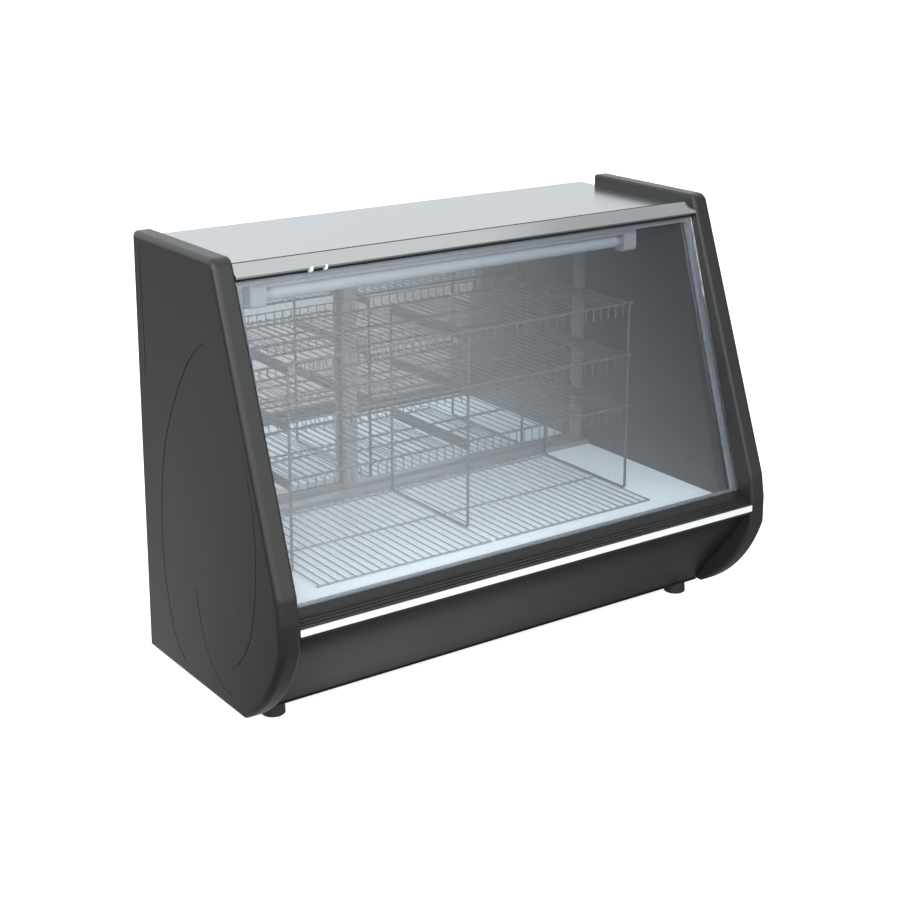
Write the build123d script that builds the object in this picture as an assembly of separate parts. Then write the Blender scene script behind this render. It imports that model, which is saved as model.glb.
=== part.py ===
"""Counter-top display fridge: sloping double glazing, moulded end panels and mirrored sliding rear doors.

Millimetres. X runs along the counter, -Y is the customer's side, +Z is up.
The origin is on the counter, under the middle of the case's bounding box.
"""
import os
from math import cos, hypot, radians, sin

from build123d import *

os.makedirs("parts", exist_ok=True)

# Case
CASE_WIDTH = 1200.0
CASE_FRONT = -300.0
CASE_REAR = 300.0
FOOT_HEIGHT = 25.0
BASE_Z = FOOT_HEIGHT
SHEET = 1.5

# Top plate, and the heights that hang from it
TOP_PLATE_Z = 868.0
TOP_FRONT = -58.0
TOP_RETURN = 24.0
CEILING_Z = TOP_PLATE_Z - 34.0

# End panels: side outline as (Y, Z)
PANEL_THICKNESS = 42.0
PANEL_REAR = 250.0
PANEL_TOP = TOP_PLATE_Z + 24.0
PANEL_TOP_FRONT = (-82.0, PANEL_TOP)
PANEL_NOSE_TOP = (-291.0, 311.0)
PANEL_NOSE_MID = (CASE_FRONT + 1.0, 262.0)
PANEL_NOSE_LOW = (CASE_FRONT + 1.0, 205.0)
PANEL_BELLY = (-243.0, 104.0)
PANEL_TOE = (-148.0, BASE_Z)
PANEL_TOP_RADIUS = 22.0
PANEL_NOSE_RADIUS = 60.0
PANEL_REAR_RADIUS = 6.0
PANEL_OUTER_ROUND = 12.0
PANEL_INNER_ROUND = 6.0
GROOVE_WIDTH = 3.0
GROOVE_DEPTH = 1.2
INNER_X = CASE_WIDTH / 2 - PANEL_THICKNESS
OUTER_X = CASE_WIDTH / 2

# Grooves pressed in the outer face of each end panel, drawn for a panel of this height
GROOVES_DRAWN_TOP = 892.0
GROOVES = (
    ((218.0, 869.0), (213.0, 724.0), (211.0, 609.0)),
    ((-46.0, 731.0), (22.0, 681.0), (80.0, 603.0), (133.0, 500.0), (162.0, 371.0), (165.0, 247.0),
     (147.0, 150.0), (118.0, 85.0), (79.0, 54.0)),
    ((-188.0, 526.0), (-211.0, 438.0), (-216.0, 365.0), (-209.0, 287.0), (-187.0, 203.0),
     (-154.0, 149.0), (-114.0, 115.0)),
    ((28.0, 230.0), (14.0, 174.0), (-12.0, 113.0), (-40.0, 82.0), (-67.0, 66.0), (-119.0, 60.0)),
)

# Inner walls and display deck
LINER_THICKNESS = 19.0
LINER_X = INNER_X - LINER_THICKNESS
DECK_Z = 250.0
DECK_FRONT = -222.0
LINER_GAP = 2.0

# Sloping double glazing: outer face from the top edge down, as (Y, Z)
GLASS_TOP = (-79.0, TOP_PLATE_Z - 19.0)
GLASS_FOOT = (-259.2, 264.0)
OUTER_PANE = 5.0
PANE_SPACE = 9.0
INNER_PANE = 4.0
SEALANT_WIDTH = 4.0
SPACER_WIDTH = 10.0
GLASS_SIDE_GAP = 0.5
GLASS_X = INNER_X - GLASS_SIDE_GAP

# Fascia
FASCIA_HIGH = (-70.0, TOP_PLATE_Z + 8.0)
FASCIA_LOW = (-96.0, TOP_PLATE_Z - 12.0)
FASCIA_WALL = 2.0
FASCIA_BASE_Z = TOP_PLATE_Z - 18.5

# Ledge, trim and skirt below the glass
LEDGE_Z = 255.0
LEDGE_BOTTOM_Z = 230.0
LEDGE_GROOVE = 3.0
LEDGE_GROOVE_Y = (-272.0, -281.0, -290.0)
GLASS_LIP = 8.0
TRIM_Z = (236.0, 249.0)
TRIM_THICKNESS = 2.0
SKIRT_POINTS = ((-270.0, 230.0), (-265.0, 200.0), (-240.0, 161.0), (-197.0, 108.0), (-156.0, 58.0),
                (-134.0, 27.0))
SKIRT_SHEET = (2.0, 1.2)

# Base
CHASSIS_SHEET = 2.0
CHASSIS_FRONT = -136.0
CHASSIS_FLANGE = 30.0
TUB_BOTTOM_Z = 192.0
COIL_WELL_X = LINER_X - 59.0
COIL_WELL_Y = (-170.0, 190.0)
COIL_WELL_Z = 212.0

# Rear door frame
DOOR_SILL_FRONT = 228.0
FRAME_FRONT = 254.0
TRACK_FRONT = 256.0
GROOVE_INNER = (259.0, 277.0)
GROOVE_OUTER = (280.0, 297.0)
TRACK_FLOOR_Z = 238.0
TRACK_FIN_Z = 252.0
SILL_LIP_Z = 262.0
TRACK_TOP_Z = TOP_PLATE_Z - 2.0
TRACK_ROOF_Z = TRACK_TOP_Z - 6.0
TRACK_TOP_FIN_Z = TRACK_ROOF_Z - 18.0
POST_WIDTH = 16.0
FRAME_X = INNER_X - POST_WIDTH

# Sliding doors
DOOR_THICKNESS = 13.0
DOOR_BOTTOM_Z = 241.0
DOOR_TOP_Z = TRACK_ROOF_Z - 4.0
DOOR_STILE = 30.0
DOOR_BOTTOM_RAIL = 28.0
DOOR_TOP_RAIL = 36.0
DOOR_MEETING_X = 116.0
DOOR_SIDE_GAP = 1.5
MIRROR_THICKNESS = 5.0
MIRROR_INSET = 1.5
MIRROR_LAP = 5.0
PULL_WIDTH = 20.0
PULL_HEIGHT = 110.0
PULL_DEPTH = 10.0
PULL_Z = 560.0
GLIDE_HEIGHT = 2.95
GLIDE_LENGTH = 60.0

# Wire deck grids
DECK_ROD = 4.0
DECK_WIRE = 3.0
WIRE_PITCH = 20.0
WELD = 0.4
GRID_END_SPACE = 4.0
DECK_ROD_Y = (-150.0, 34.0, 214.0)
DECK_WIRE_Y = (-158.0, 222.0)

# Upright rack frames and wire shelves
RACK_WIRE = 6.0
RACK_X = (98.0 - LINER_X, -25.0, LINER_X - 141.0)
RACK_Y = (-64.0, 219.0)
RACK_TOP_Z = 670.0
RACK_BEND = 10.0
RUNNER_HEIGHT = 20.0
RUNNER_THICKNESS = 3.0
RUNNER_Z = (430.0, 545.0, 660.0)
SHELF_ROD = 5.0
SHELF_WIRE = 2.5
SHELF_BEND = 4.0
SHELF_OVERHANG = 8.0
SHELF_DROP = 28.0
SHELF_LIP = 22.0
SHELF_FRONT_GAP = 0.5
SHELF_BACK_GAP = 5.0
GRID_RACK_GAP = 0.5
GRID_LEFT_X = (RACK_X[0] + RACK_WIRE / 2 + GRID_RACK_GAP, RACK_X[1] - RACK_WIRE / 2 - GRID_RACK_GAP)
GRID_RIGHT_X = (-17.0, LINER_X - 146.0)

# Lamp
LAMP_X = (24.0 - LINER_X, LINER_X - 126.0)
LAMP_Y = -48.0
LAMP_BODY = (30.0, 12.0)
LAMP_CAP_LENGTH = 33.0
LAMP_CAP_DROP = 38.0
LAMP_CAP_WIDTH = 32.0
TUBE_DIAMETER = 26.0
TUBE_Z = CEILING_Z - 28.0

# Refrigeration unit
COMPRESSOR_AT = (LINER_X - 239.0, 90.0)
COMPRESSOR_SIZE = (170.0, 130.0, 132.0)
COMPRESSOR_DOME = 30.0
COMPRESSOR_FOOT_Z = 14.0
CONDENSER_X = (-200.0, 20.0)
CONDENSER_Y = (170.0, 214.0)
CONDENSER_Z = (34.0, 176.0)
CONDENSER_ROWS = 5
COIL_REACH = 14.0
FIN_PITCH = 11.0
FIN_THICKNESS = 0.8
COIL_TUBE = 9.0
EVAPORATOR_Y = (-130.0, -74.0, -18.0, 38.0, 94.0, 150.0)
EVAPORATOR_PITCH = 60.0
FAN_AT = (-90.0, 105.0)
FAN_RADIUS = 58.0
FAN_HUB_RADIUS = 16.0
FAN_DUCT_RADIUS = 63.0
SHROUD_DEPTH = 32.0
MOTOR_RADIUS = 24.0
MOTOR_LENGTH = 36.0
SPINDLE_RADIUS = 3.0
RUNNING_FIT = 0.05
PIPE = 8.0
PIPE_Z = 110.0
SUCTION_X = COIL_WELL_X - 12.0
SUCTION_HOLE = 5.0

# Service side
SERVICE_Y = 272.0
LOUVRE_COUNT = 9
LOUVRE_PITCH = 16.0
LOUVRE_Z = 62.0
LOUVRE_SLOT = (170.0, 7.0)
LOUVRE_X = (-330.0, -90.0, 110.0)
CONTROL_AT = (FRAME_X - 142.0, 126.0)
CONTROL_SIZE = (190.0, 120.0)
CONTROL_THICKNESS = 2.0
CONTROL_LAP = 12.0
KNOB_AT = (CONTROL_AT[0] - 55.0, CONTROL_AT[1] + 2.0)
KNOB_RADIUS = 19.0
KNOB_LENGTH = 16.0
KNOB_GAP = 0.6
KNOB_FLUTES = 16
SWITCH_X = (CONTROL_AT[0] + 12.0, CONTROL_AT[0] + 46.0)
SWITCH_Z = CONTROL_AT[1] + 22.0
SWITCH_OPENING = (22.0, 30.0)
SWITCH_WALL = 2.0
SWITCH_RIM = 1.6
SWITCH_DEPTH = 22.0
ROCKER_CLEARANCE = 0.3
ROCKER_HALF = 13.6
ROCKER_TILT = 8.0
PIVOT_DEPTH = 6.0
PIVOT_RADIUS = 2.0
INLET_AT = (CONTROL_AT[0] + 30.0, CONTROL_AT[1] - 30.0)
INLET_SIZE = (30.0, 22.0)
INLET_PINS = ((-7.0, -2.0), (0.0, 3.0), (7.0, -2.0))
SCREW_HEAD = 7.0
SCREW_SHANK = 3.5

# Feet
FOOT_RADIUS = 24.0
FOOT_X = OUTER_X - 85.0
FOOT_Y = (-112.0, 210.0)


def box(x, y, z):
    """Block between the given pairs of limits."""
    centre = Pos((x[0] + x[1]) / 2, (y[0] + y[1]) / 2, (z[0] + z[1]) / 2)
    return centre * Box(x[1] - x[0], y[1] - y[0], z[1] - z[0])


def prism(points, x0, x1):
    """Side outline in (Y, Z) drawn out along X."""
    return extrude(Plane.YZ.offset(x0) * make_face(Polyline(*points, close=True)), x1 - x0)


def rod(start, end, diameter):
    """Straight round bar between two points."""
    line = Line(start, end)
    return sweep(Plane(origin=line @ 0, z_dir=line % 0) * Circle(diameter / 2), path=line)


def tube(points, diameter, bend):
    """Round bar bent along a route of straight runs."""
    line = FilletPolyline(*points, radius=bend)
    return sweep(Plane(origin=line @ 0, z_dir=line % 0) * Circle(diameter / 2), path=line)


def ring_frame(x, y, z, border):
    """Flat rectangular frame standing in an XZ plane."""
    left, right, bottom, top = border
    hole = box((x[0] + left, x[1] - right), (y[0] - 1, y[1] + 1), (z[0] + bottom, z[1] - top))
    return box(x, y, z) - hole


def merge(shapes):
    """Welds shapes that meet into one solid."""
    return shapes[0].fuse(*shapes[1:])


def save(name, *solids):
    """Writes one node; several solids stay separate in it."""
    shape = solids[0] if len(solids) == 1 else Compound(children=list(solids))
    export_step(shape, f"parts/{name}.step")


# Point on the glazing: along its slope from the top edge, then inwards from its outer face
SLOPE_LENGTH = hypot(GLASS_FOOT[0] - GLASS_TOP[0], GLASS_FOOT[1] - GLASS_TOP[1])
SLOPE_Y = (GLASS_FOOT[0] - GLASS_TOP[0]) / SLOPE_LENGTH
SLOPE_Z = (GLASS_FOOT[1] - GLASS_TOP[1]) / SLOPE_LENGTH


def on_glass(along, inward):
    y = GLASS_TOP[0] + SLOPE_Y * along - SLOPE_Z * inward
    z = GLASS_TOP[1] + SLOPE_Z * along + SLOPE_Y * inward
    return y, z


def glass_line_y(z, inward):
    """Y of the glazing's layer at a height."""
    at_top = on_glass(0, inward)
    return at_top[0] + (z - at_top[1]) * SLOPE_Y / SLOPE_Z


def glass_layer(inward0, inward1, x0, x1, along0=0.0, along1=None):
    along1 = SLOPE_LENGTH if along1 is None else along1
    corners = [on_glass(along0, inward0), on_glass(along1, inward0), on_glass(along1, inward1),
               on_glass(along0, inward1)]
    return prism(corners, x0, x1)


def panel_outline():
    edges = [
        Line((PANEL_REAR, BASE_Z), (PANEL_REAR, PANEL_TOP)),
        Line((PANEL_REAR, PANEL_TOP), PANEL_TOP_FRONT),
        Line(PANEL_TOP_FRONT, PANEL_NOSE_TOP),
        Line(PANEL_NOSE_TOP, PANEL_NOSE_MID),
        Line(PANEL_NOSE_MID, PANEL_NOSE_LOW),
        ThreePointArc(PANEL_NOSE_LOW, PANEL_BELLY, PANEL_TOE),
        Line(PANEL_TOE, (PANEL_REAR, BASE_Z)),
    ]
    face = make_face(edges)
    for corner, radius in (((PANEL_REAR, PANEL_TOP), PANEL_REAR_RADIUS), (PANEL_TOP_FRONT, PANEL_TOP_RADIUS),
                           (PANEL_NOSE_TOP, PANEL_NOSE_RADIUS), (PANEL_NOSE_LOW, PANEL_NOSE_RADIUS / 2)):
        nearest = face.vertices().sort_by_distance(Vector(*corner))[0]
        face = fillet(nearest, radius)
    return face


def end_panel(side):
    """Thick moulded side with rounded rims and pressed grooves outside."""
    inner = side * INNER_X
    outer = side * OUTER_X
    blank = extrude(Plane.YZ.offset(min(inner, outer)) * panel_outline(), PANEL_THICKNESS)
    outer_rim = blank.faces().sort_by(Axis.X)[-1 if side > 0 else 0].edges()
    blank = fillet(outer_rim, PANEL_OUTER_ROUND)
    inner_rim = blank.faces().sort_by(Axis.X)[0 if side > 0 else -1].edges()
    blank = fillet(inner_rim, PANEL_INNER_ROUND)
    start = outer - GROOVE_DEPTH if side > 0 else outer
    for groove in GROOVES:
        line = Spline(*[(y, z * PANEL_TOP / GROOVES_DRAWN_TOP) for y, z in groove])
        face = trace(line, GROOVE_WIDTH)
        blank -= extrude(Plane.YZ.offset(start) * face, GROOVE_DEPTH)
    return blank


def end_panels():
    save("end_panel_left", end_panel(-1))
    save("end_panel_right", end_panel(1))


def inner_walls():
    """Flat liner of each end, cut parallel to the glass."""
    behind = OUTER_PANE + PANE_SPACE + INNER_PANE + LINER_GAP
    outline = [(DECK_FRONT, DECK_Z), (FRAME_FRONT, DECK_Z), (FRAME_FRONT, CEILING_Z),
               (glass_line_y(CEILING_Z, behind), CEILING_Z), (glass_line_y(LEDGE_Z, behind), LEDGE_Z),
               (DECK_FRONT, LEDGE_Z)]
    save("inner_wall_left", prism(outline, -INNER_X, -LINER_X))
    save("inner_wall_right", prism(outline, LINER_X, INNER_X))


def top_parts():
    """Stainless lid, its foam core and the ceiling sheet."""
    skin = [(TOP_FRONT, TOP_PLATE_Z), (CASE_REAR, TOP_PLATE_Z), (CASE_REAR, TOP_PLATE_Z - TOP_RETURN),
            (CASE_REAR - SHEET, TOP_PLATE_Z - TOP_RETURN), (CASE_REAR - SHEET, TRACK_TOP_Z),
            (TOP_FRONT, TRACK_TOP_Z)]
    save("top_plate", prism(skin, -INNER_X, INNER_X))
    core = [(TOP_FRONT - 4, CEILING_Z + SHEET), (TOP_FRONT, FASCIA_BASE_Z), (TOP_FRONT, TRACK_TOP_Z),
            (FRAME_FRONT, TRACK_TOP_Z), (FRAME_FRONT, CEILING_Z + SHEET)]
    save("top_insulation", prism(core, -INNER_X, INNER_X))
    ceiling_y = (TOP_FRONT - 3, FRAME_FRONT)
    save("ceiling_sheet", box((-INNER_X, INNER_X), ceiling_y, (CEILING_Z, CEILING_Z + SHEET)))


def fascia():
    """Hollow light-metal nosing over the glass's top edge."""
    outer = [FASCIA_HIGH, FASCIA_LOW, (FASCIA_LOW[0] + 2, FASCIA_LOW[1] - 4), (-84.0, FASCIA_BASE_Z),
             (TOP_FRONT, FASCIA_BASE_Z), (TOP_FRONT, TOP_PLATE_Z), (TOP_FRONT - 6, FASCIA_HIGH[1])]
    inner = [(FASCIA_HIGH[0] + 1, FASCIA_HIGH[1] - 3.5), (FASCIA_LOW[0] + 4.5, FASCIA_LOW[1] - 1),
             (-83.0, FASCIA_BASE_Z + FASCIA_WALL), (TOP_FRONT - FASCIA_WALL, FASCIA_BASE_Z + FASCIA_WALL),
             (TOP_FRONT - FASCIA_WALL, TOP_PLATE_Z - 1), (TOP_FRONT - 6.5, FASCIA_HIGH[1] - 3)]
    nosing = prism(outer, -INNER_X, INNER_X) - prism(inner, -INNER_X, INNER_X)
    save("top_fascia", nosing)


def glazing():
    """Two panes held apart by a metal spacer inside a ring of sealant."""
    x0, x1 = -GLASS_X, GLASS_X
    inner0 = OUTER_PANE + PANE_SPACE
    save("front_glass_outer", glass_layer(0, OUTER_PANE, x0, x1))
    save("front_glass_inner", glass_layer(inner0, inner0 + INNER_PANE, x0, x1))
    rim = SEALANT_WIDTH
    core = SEALANT_WIDTH + SPACER_WIDTH
    block = glass_layer(OUTER_PANE, inner0, x0, x1)
    window = glass_layer(OUTER_PANE, inner0, x0 + rim, x1 - rim, rim, SLOPE_LENGTH - rim)
    sight = glass_layer(OUTER_PANE, inner0, x0 + core, x1 - core, core, SLOPE_LENGTH - core)
    save("glass_sealant", block - window)
    save("glass_spacer", window - sight)


def ledge():
    """Black moulded seat of the glass with its bright trim strip."""
    foot = on_glass(SLOPE_LENGTH, 0)
    heel = on_glass(SLOPE_LENGTH, OUTER_PANE + PANE_SPACE + INNER_PANE)
    front = CASE_FRONT + TRIM_THICKNESS
    profile = [(DECK_FRONT, LEDGE_BOTTOM_Z), (DECK_FRONT, LEDGE_Z), (heel[0] + 0.5, LEDGE_Z), heel, foot,
               on_glass(SLOPE_LENGTH - GLASS_LIP, -0.3), on_glass(SLOPE_LENGTH - GLASS_LIP, -3.0),
               (foot[0] - 5, LEDGE_Z + 3), (front, LEDGE_Z - 4), (front, LEDGE_BOTTOM_Z)]
    body = prism(profile, -INNER_X, INNER_X)
    for y in LEDGE_GROOVE_Y:
        groove_y = (y - LEDGE_GROOVE / 2, y + LEDGE_GROOVE / 2)
        body -= box((-INNER_X, INNER_X), groove_y, (LEDGE_Z - 6, LEDGE_Z + 10))
    save("glass_ledge", body)
    save("trim_strip", box((-INNER_X, INNER_X), (CASE_FRONT, front), TRIM_Z))


def skirt():
    """Curved front sheet from the ledge down to the chassis."""
    curve = Spline(*SKIRT_POINTS)
    first = (SKIRT_POINTS[0][0] + SKIRT_SHEET[0], SKIRT_POINTS[0][1])
    back = Spline(first, *[(y + SKIRT_SHEET[0], z + SKIRT_SHEET[1]) for y, z in SKIRT_POINTS[1:]])
    face = make_face([curve, Line(curve @ 1, back @ 1), back, Line(back @ 0, curve @ 0)])
    save("front_skirt", extrude(Plane.YZ.offset(-INNER_X) * face, 2 * INNER_X))


def base():
    """Sheet chassis, foam tub and the sheet deck over it."""
    x = (-INNER_X, INNER_X)
    floor_z = BASE_Z + CHASSIS_SHEET
    tray = box(x, (CHASSIS_FRONT, CASE_REAR), (BASE_Z, floor_z))
    flange = box(x, (CHASSIS_FRONT + 18, CHASSIS_FRONT + 20), (floor_z, BASE_Z + CHASSIS_FLANGE))
    save("base_chassis", merge([tray, flange]))
    deck_under = DECK_Z - SHEET
    tub = box(x, (DECK_FRONT + SHEET, DOOR_SILL_FRONT), (TUB_BOTTOM_Z, deck_under))
    tub -= box((-COIL_WELL_X, COIL_WELL_X), COIL_WELL_Y, (COIL_WELL_Z, deck_under))
    tub -= Pos(SUCTION_X, EVAPORATOR_Y[-1], TUB_BOTTOM_Z) * Cylinder(SUCTION_HOLE, 60)
    save("insulated_tub", tub)
    deck = box((-LINER_X, LINER_X), (DECK_FRONT, DOOR_SILL_FRONT), (deck_under, DECK_Z))
    hem = box((-LINER_X, LINER_X), (DECK_FRONT, DECK_FRONT + SHEET), (LEDGE_BOTTOM_Z, deck_under))
    save("display_deck", merge([deck, hem]))


def deck_grid(name, x):
    """Welded grid: three long rods under a row of wires that run front to back."""
    low = DECK_Z + DECK_ROD / 2
    high = DECK_Z + DECK_ROD + DECK_WIRE / 2 - WELD
    bars = [rod((x[0], y, low), (x[1], y, low), DECK_ROD) for y in DECK_ROD_Y]
    count = int((x[1] - x[0] - 2 * GRID_END_SPACE) // WIRE_PITCH) + 1
    first = (x[0] + x[1]) / 2 - (count - 1) * WIRE_PITCH / 2
    for i in range(count):
        at = first + i * WIRE_PITCH
        bars.append(rod((at, DECK_WIRE_Y[0], high), (at, DECK_WIRE_Y[1], high), DECK_WIRE))
    save(name, merge(bars))


def rack_frame(name, x):
    """U-shaped wire upright that stands on the deck, with flat runners for the shelves."""
    low = DECK_Z + RACK_WIRE / 2
    front, back = RACK_Y
    points = [(x, front, RACK_TOP_Z), (x, front, low), (x, back, low), (x, back, RACK_TOP_Z)]
    upright = tube(points, RACK_WIRE, RACK_BEND)
    runner_x = (x - RUNNER_THICKNESS / 2, x + RUNNER_THICKNESS / 2)
    bars = [box(runner_x, RACK_Y, (z - RUNNER_HEIGHT / 2, z + RUNNER_HEIGHT / 2)) for z in RUNNER_Z]
    save(name, merge([upright] + bars))


def wire_shelf(name, level):
    """Shelf of thin wires on three rods, the front one before the uprights; its wires hang down in front."""
    x = (RACK_X[0] - 4, RACK_X[2] + 4)
    z = RUNNER_Z[level] + RUNNER_HEIGHT / 2 + SHELF_ROD / 2
    front = RACK_Y[0] - RACK_WIRE / 2 - SHELF_FRONT_GAP - SHELF_ROD / 2
    back = RACK_Y[1] - SHELF_BACK_GAP
    rods = (front, (front + back - 9) / 2, back - 9)
    bars = [rod((x[0], y, z), (x[1], y, z), SHELF_ROD) for y in rods]
    high = z + SHELF_ROD / 2 + SHELF_WIRE / 2 - WELD
    fence = front - SHELF_OVERHANG
    count = int((x[1] - x[0] - 20) // WIRE_PITCH) + 1
    first = (x[0] + x[1]) / 2 - (count - 1) * WIRE_PITCH / 2
    for i in range(count):
        at = first + i * WIRE_PITCH
        points = [(at, fence, high - SHELF_DROP), (at, fence, high), (at, back, high), (at, back, high + SHELF_LIP)]
        bars.append(tube(points, SHELF_WIRE, SHELF_BEND))
    lip_y = back - SHELF_WIRE + WELD
    lip_z = high + SHELF_LIP - 2
    bars.append(rod((x[0], lip_y, lip_z), (x[1], lip_y, lip_z), SHELF_WIRE))
    save(name, merge(bars))


def racks():
    for name, x in zip(("rack_frame_left", "rack_frame_centre", "rack_frame_right"), RACK_X):
        rack_frame(name, x)
    for level, name in enumerate(("wire_shelf_lower", "wire_shelf_middle", "wire_shelf_upper")):
        wire_shelf(name, level)


def lamp():
    """Batten under the ceiling with a tube between two holders."""
    width, depth = LAMP_BODY
    body = box(LAMP_X, (LAMP_Y - width / 2, LAMP_Y + width / 2), (CEILING_Z - depth, CEILING_Z))
    save("lamp_batten", body)
    cap_z = (CEILING_Z - LAMP_CAP_DROP - depth, CEILING_Z - depth)
    cap_y = (LAMP_Y - LAMP_CAP_WIDTH / 2, LAMP_Y + LAMP_CAP_WIDTH / 2)
    left = box((LAMP_X[0], LAMP_X[0] + LAMP_CAP_LENGTH), cap_y, cap_z)
    right = box((LAMP_X[1] - LAMP_CAP_LENGTH, LAMP_X[1]), cap_y, cap_z)
    x0 = LAMP_X[0] + LAMP_CAP_LENGTH
    x1 = LAMP_X[1] - LAMP_CAP_LENGTH
    save("lampholders", *[fillet(cap.edges().filter_by(Axis.X).group_by(Axis.Z)[0], 8.0) for cap in (left, right)])
    save("lamp_tube", rod((x0, LAMP_Y, TUBE_Z), (x1, LAMP_Y, TUBE_Z), TUBE_DIAMETER))


def door_tracks():
    """Top and bottom channels with two grooves, and the posts that close the sides."""
    between = (-FRAME_X, FRAME_X)
    fins = [(TRACK_FRONT, GROOVE_INNER[0]), (GROOVE_INNER[1], GROOVE_OUTER[0]), (GROOVE_OUTER[1], CASE_REAR)]
    sill = box(between, (DOOR_SILL_FRONT, CASE_REAR), (LEDGE_BOTTOM_Z, TRACK_FLOOR_Z))
    lip = box((-LINER_X, LINER_X), (DOOR_SILL_FRONT, TRACK_FRONT), (TRACK_FLOOR_Z, SILL_LIP_Z))
    ribs = [box(between, fin, (TRACK_FLOOR_Z, TRACK_FIN_Z)) for fin in fins]
    save("rear_bottom_track", merge([sill, lip] + ribs))
    fins[2] = (GROOVE_OUTER[1], CASE_REAR - SHEET)
    roof = box(between, (FRAME_FRONT, CASE_REAR - SHEET), (TRACK_ROOF_Z, TRACK_TOP_Z))
    hangers = [box(between, fin, (TRACK_TOP_FIN_Z, TRACK_ROOF_Z)) for fin in fins]
    front = box(between, (FRAME_FRONT, TRACK_FRONT), (CEILING_Z, TRACK_ROOF_Z))
    save("rear_top_track", merge([roof, front] + hangers))
    for name, side in (("rear_post_left", -1), ("rear_post_right", 1)):
        post_x = sorted((side * INNER_X, side * FRAME_X))
        save(name, box(post_x, (FRAME_FRONT, CASE_REAR - SHEET), (BASE_Z + CHASSIS_SHEET, TRACK_TOP_Z)))


def sliding_door(name, x, groove):
    """Framed mirror on nylon glides, with a finger recess on its outer face."""
    middle = sum(groove) / 2
    y = (middle - DOOR_THICKNESS / 2, middle + DOOR_THICKNESS / 2)
    z = (DOOR_BOTTOM_Z, DOOR_TOP_Z)
    frame = ring_frame(x, y, z, (DOOR_STILE, DOOR_STILE, DOOR_BOTTOM_RAIL, DOOR_TOP_RAIL))
    pane_x = (x[0] + DOOR_STILE - MIRROR_LAP, x[1] - DOOR_STILE + MIRROR_LAP)
    pane_z = (z[0] + DOOR_BOTTOM_RAIL - MIRROR_LAP, z[1] - DOOR_TOP_RAIL + MIRROR_LAP)
    pane_y = (y[0] + MIRROR_INSET, y[0] + MIRROR_INSET + MIRROR_THICKNESS)
    mirror = box(pane_x, pane_y, pane_z)
    save(f"{name}_mirror", mirror)
    pull_x = x[0] + DOOR_STILE / 2 if x[0] < -DOOR_MEETING_X else x[1] - DOOR_STILE / 2
    cup = Pos(pull_x, y[1] - PULL_DEPTH / 2, PULL_Z) * Box(PULL_WIDTH, PULL_DEPTH, PULL_HEIGHT)
    save(f"{name}_frame", frame - mirror - cup)
    hollow = Box(PULL_WIDTH - 4, PULL_DEPTH, PULL_HEIGHT - 4)
    save(f"{name}_finger_pull", cup - Pos(pull_x, y[1] - PULL_DEPTH / 2 + 2, PULL_Z) * hollow)
    glides = []
    for at in (x[0] + 60, x[1] - 60):
        glide_x = (at - GLIDE_LENGTH / 2, at + GLIDE_LENGTH / 2)
        glides.append(box(glide_x, (y[0] + 1, y[1] - 1), (z[0] - GLIDE_HEIGHT, z[0])))
    save(f"{name}_glides", *glides)


def doors():
    edge = FRAME_X - DOOR_SIDE_GAP
    sliding_door("door_right", (-DOOR_MEETING_X, edge), GROOVE_INNER)
    sliding_door("door_left", (-edge, DOOR_MEETING_X), GROOVE_OUTER)


def compressor():
    """Sealed shell on a bent foot plate."""
    cx, cy = COMPRESSOR_AT
    length, width, height = COMPRESSOR_SIZE
    floor_z = BASE_Z + CHASSIS_SHEET
    can_z = floor_z + COMPRESSOR_FOOT_Z
    can = Pos(cx, cy, can_z + height / 2) * Box(length, width, height)
    can = fillet(can.edges().filter_by(Axis.Z), width / 2 - 8)
    can = fillet(can.edges().group_by(Axis.Z)[-1], COMPRESSOR_DOME)
    can = fillet(can.edges().group_by(Axis.Z)[0], COMPRESSOR_DOME / 2)
    save("compressor_shell", can)
    reach = length / 2 + 26
    plate = box((cx - reach, cx + reach), (cy - 50, cy + 50), (can_z - 3, can_z))
    feet = [box((cx + sx * reach - 12, cx + sx * reach + 12), (cy - 50, cy + 50), (floor_z, can_z - 3))
            for sx in (-1, 1)]
    save("compressor_foot_plate", merge([plate] + feet))


def fin_positions(limits, pitch):
    count = int((limits[1] - limits[0]) // pitch)
    margin = (limits[1] - limits[0] - (count - 1) * pitch) / 2
    return [limits[0] + margin + i * pitch for i in range(count)]


def condenser_rows():
    step = (CONDENSER_Z[1] - CONDENSER_Z[0]) / CONDENSER_ROWS
    return [CONDENSER_Z[0] + step / 2 + i * step for i in range(CONDENSER_ROWS)]


def condenser():
    """Serpentine tube through a stack of thin fins, between two end plates that stand on the chassis."""
    y = sum(CONDENSER_Y) / 2
    ends = (CONDENSER_X[0] - COIL_REACH, CONDENSER_X[1] + COIL_REACH)
    points = []
    for i, z in enumerate(condenser_rows()):
        first, last = (ends[0], ends[1]) if i % 2 == 0 else (ends[1], ends[0])
        points += [(first, y, z), (last, y, z)]
    coil = tube(points, COIL_TUBE, COIL_TUBE)
    fins = [box((x - FIN_THICKNESS / 2, x + FIN_THICKNESS / 2), CONDENSER_Y, CONDENSER_Z)
            for x in fin_positions(CONDENSER_X, FIN_PITCH)]
    stand_z = (BASE_Z + CHASSIS_SHEET, CONDENSER_Z[1] + 4)
    stands = [box((x - 1, x + 1), CONDENSER_Y, stand_z) for x in CONDENSER_X]
    save("condenser_coil", merge([coil] + fins + stands))


def across(radius, length):
    """Cylinder whose axis runs along Y."""
    return Rot(90, 0, 0) * Cylinder(radius, length)


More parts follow.
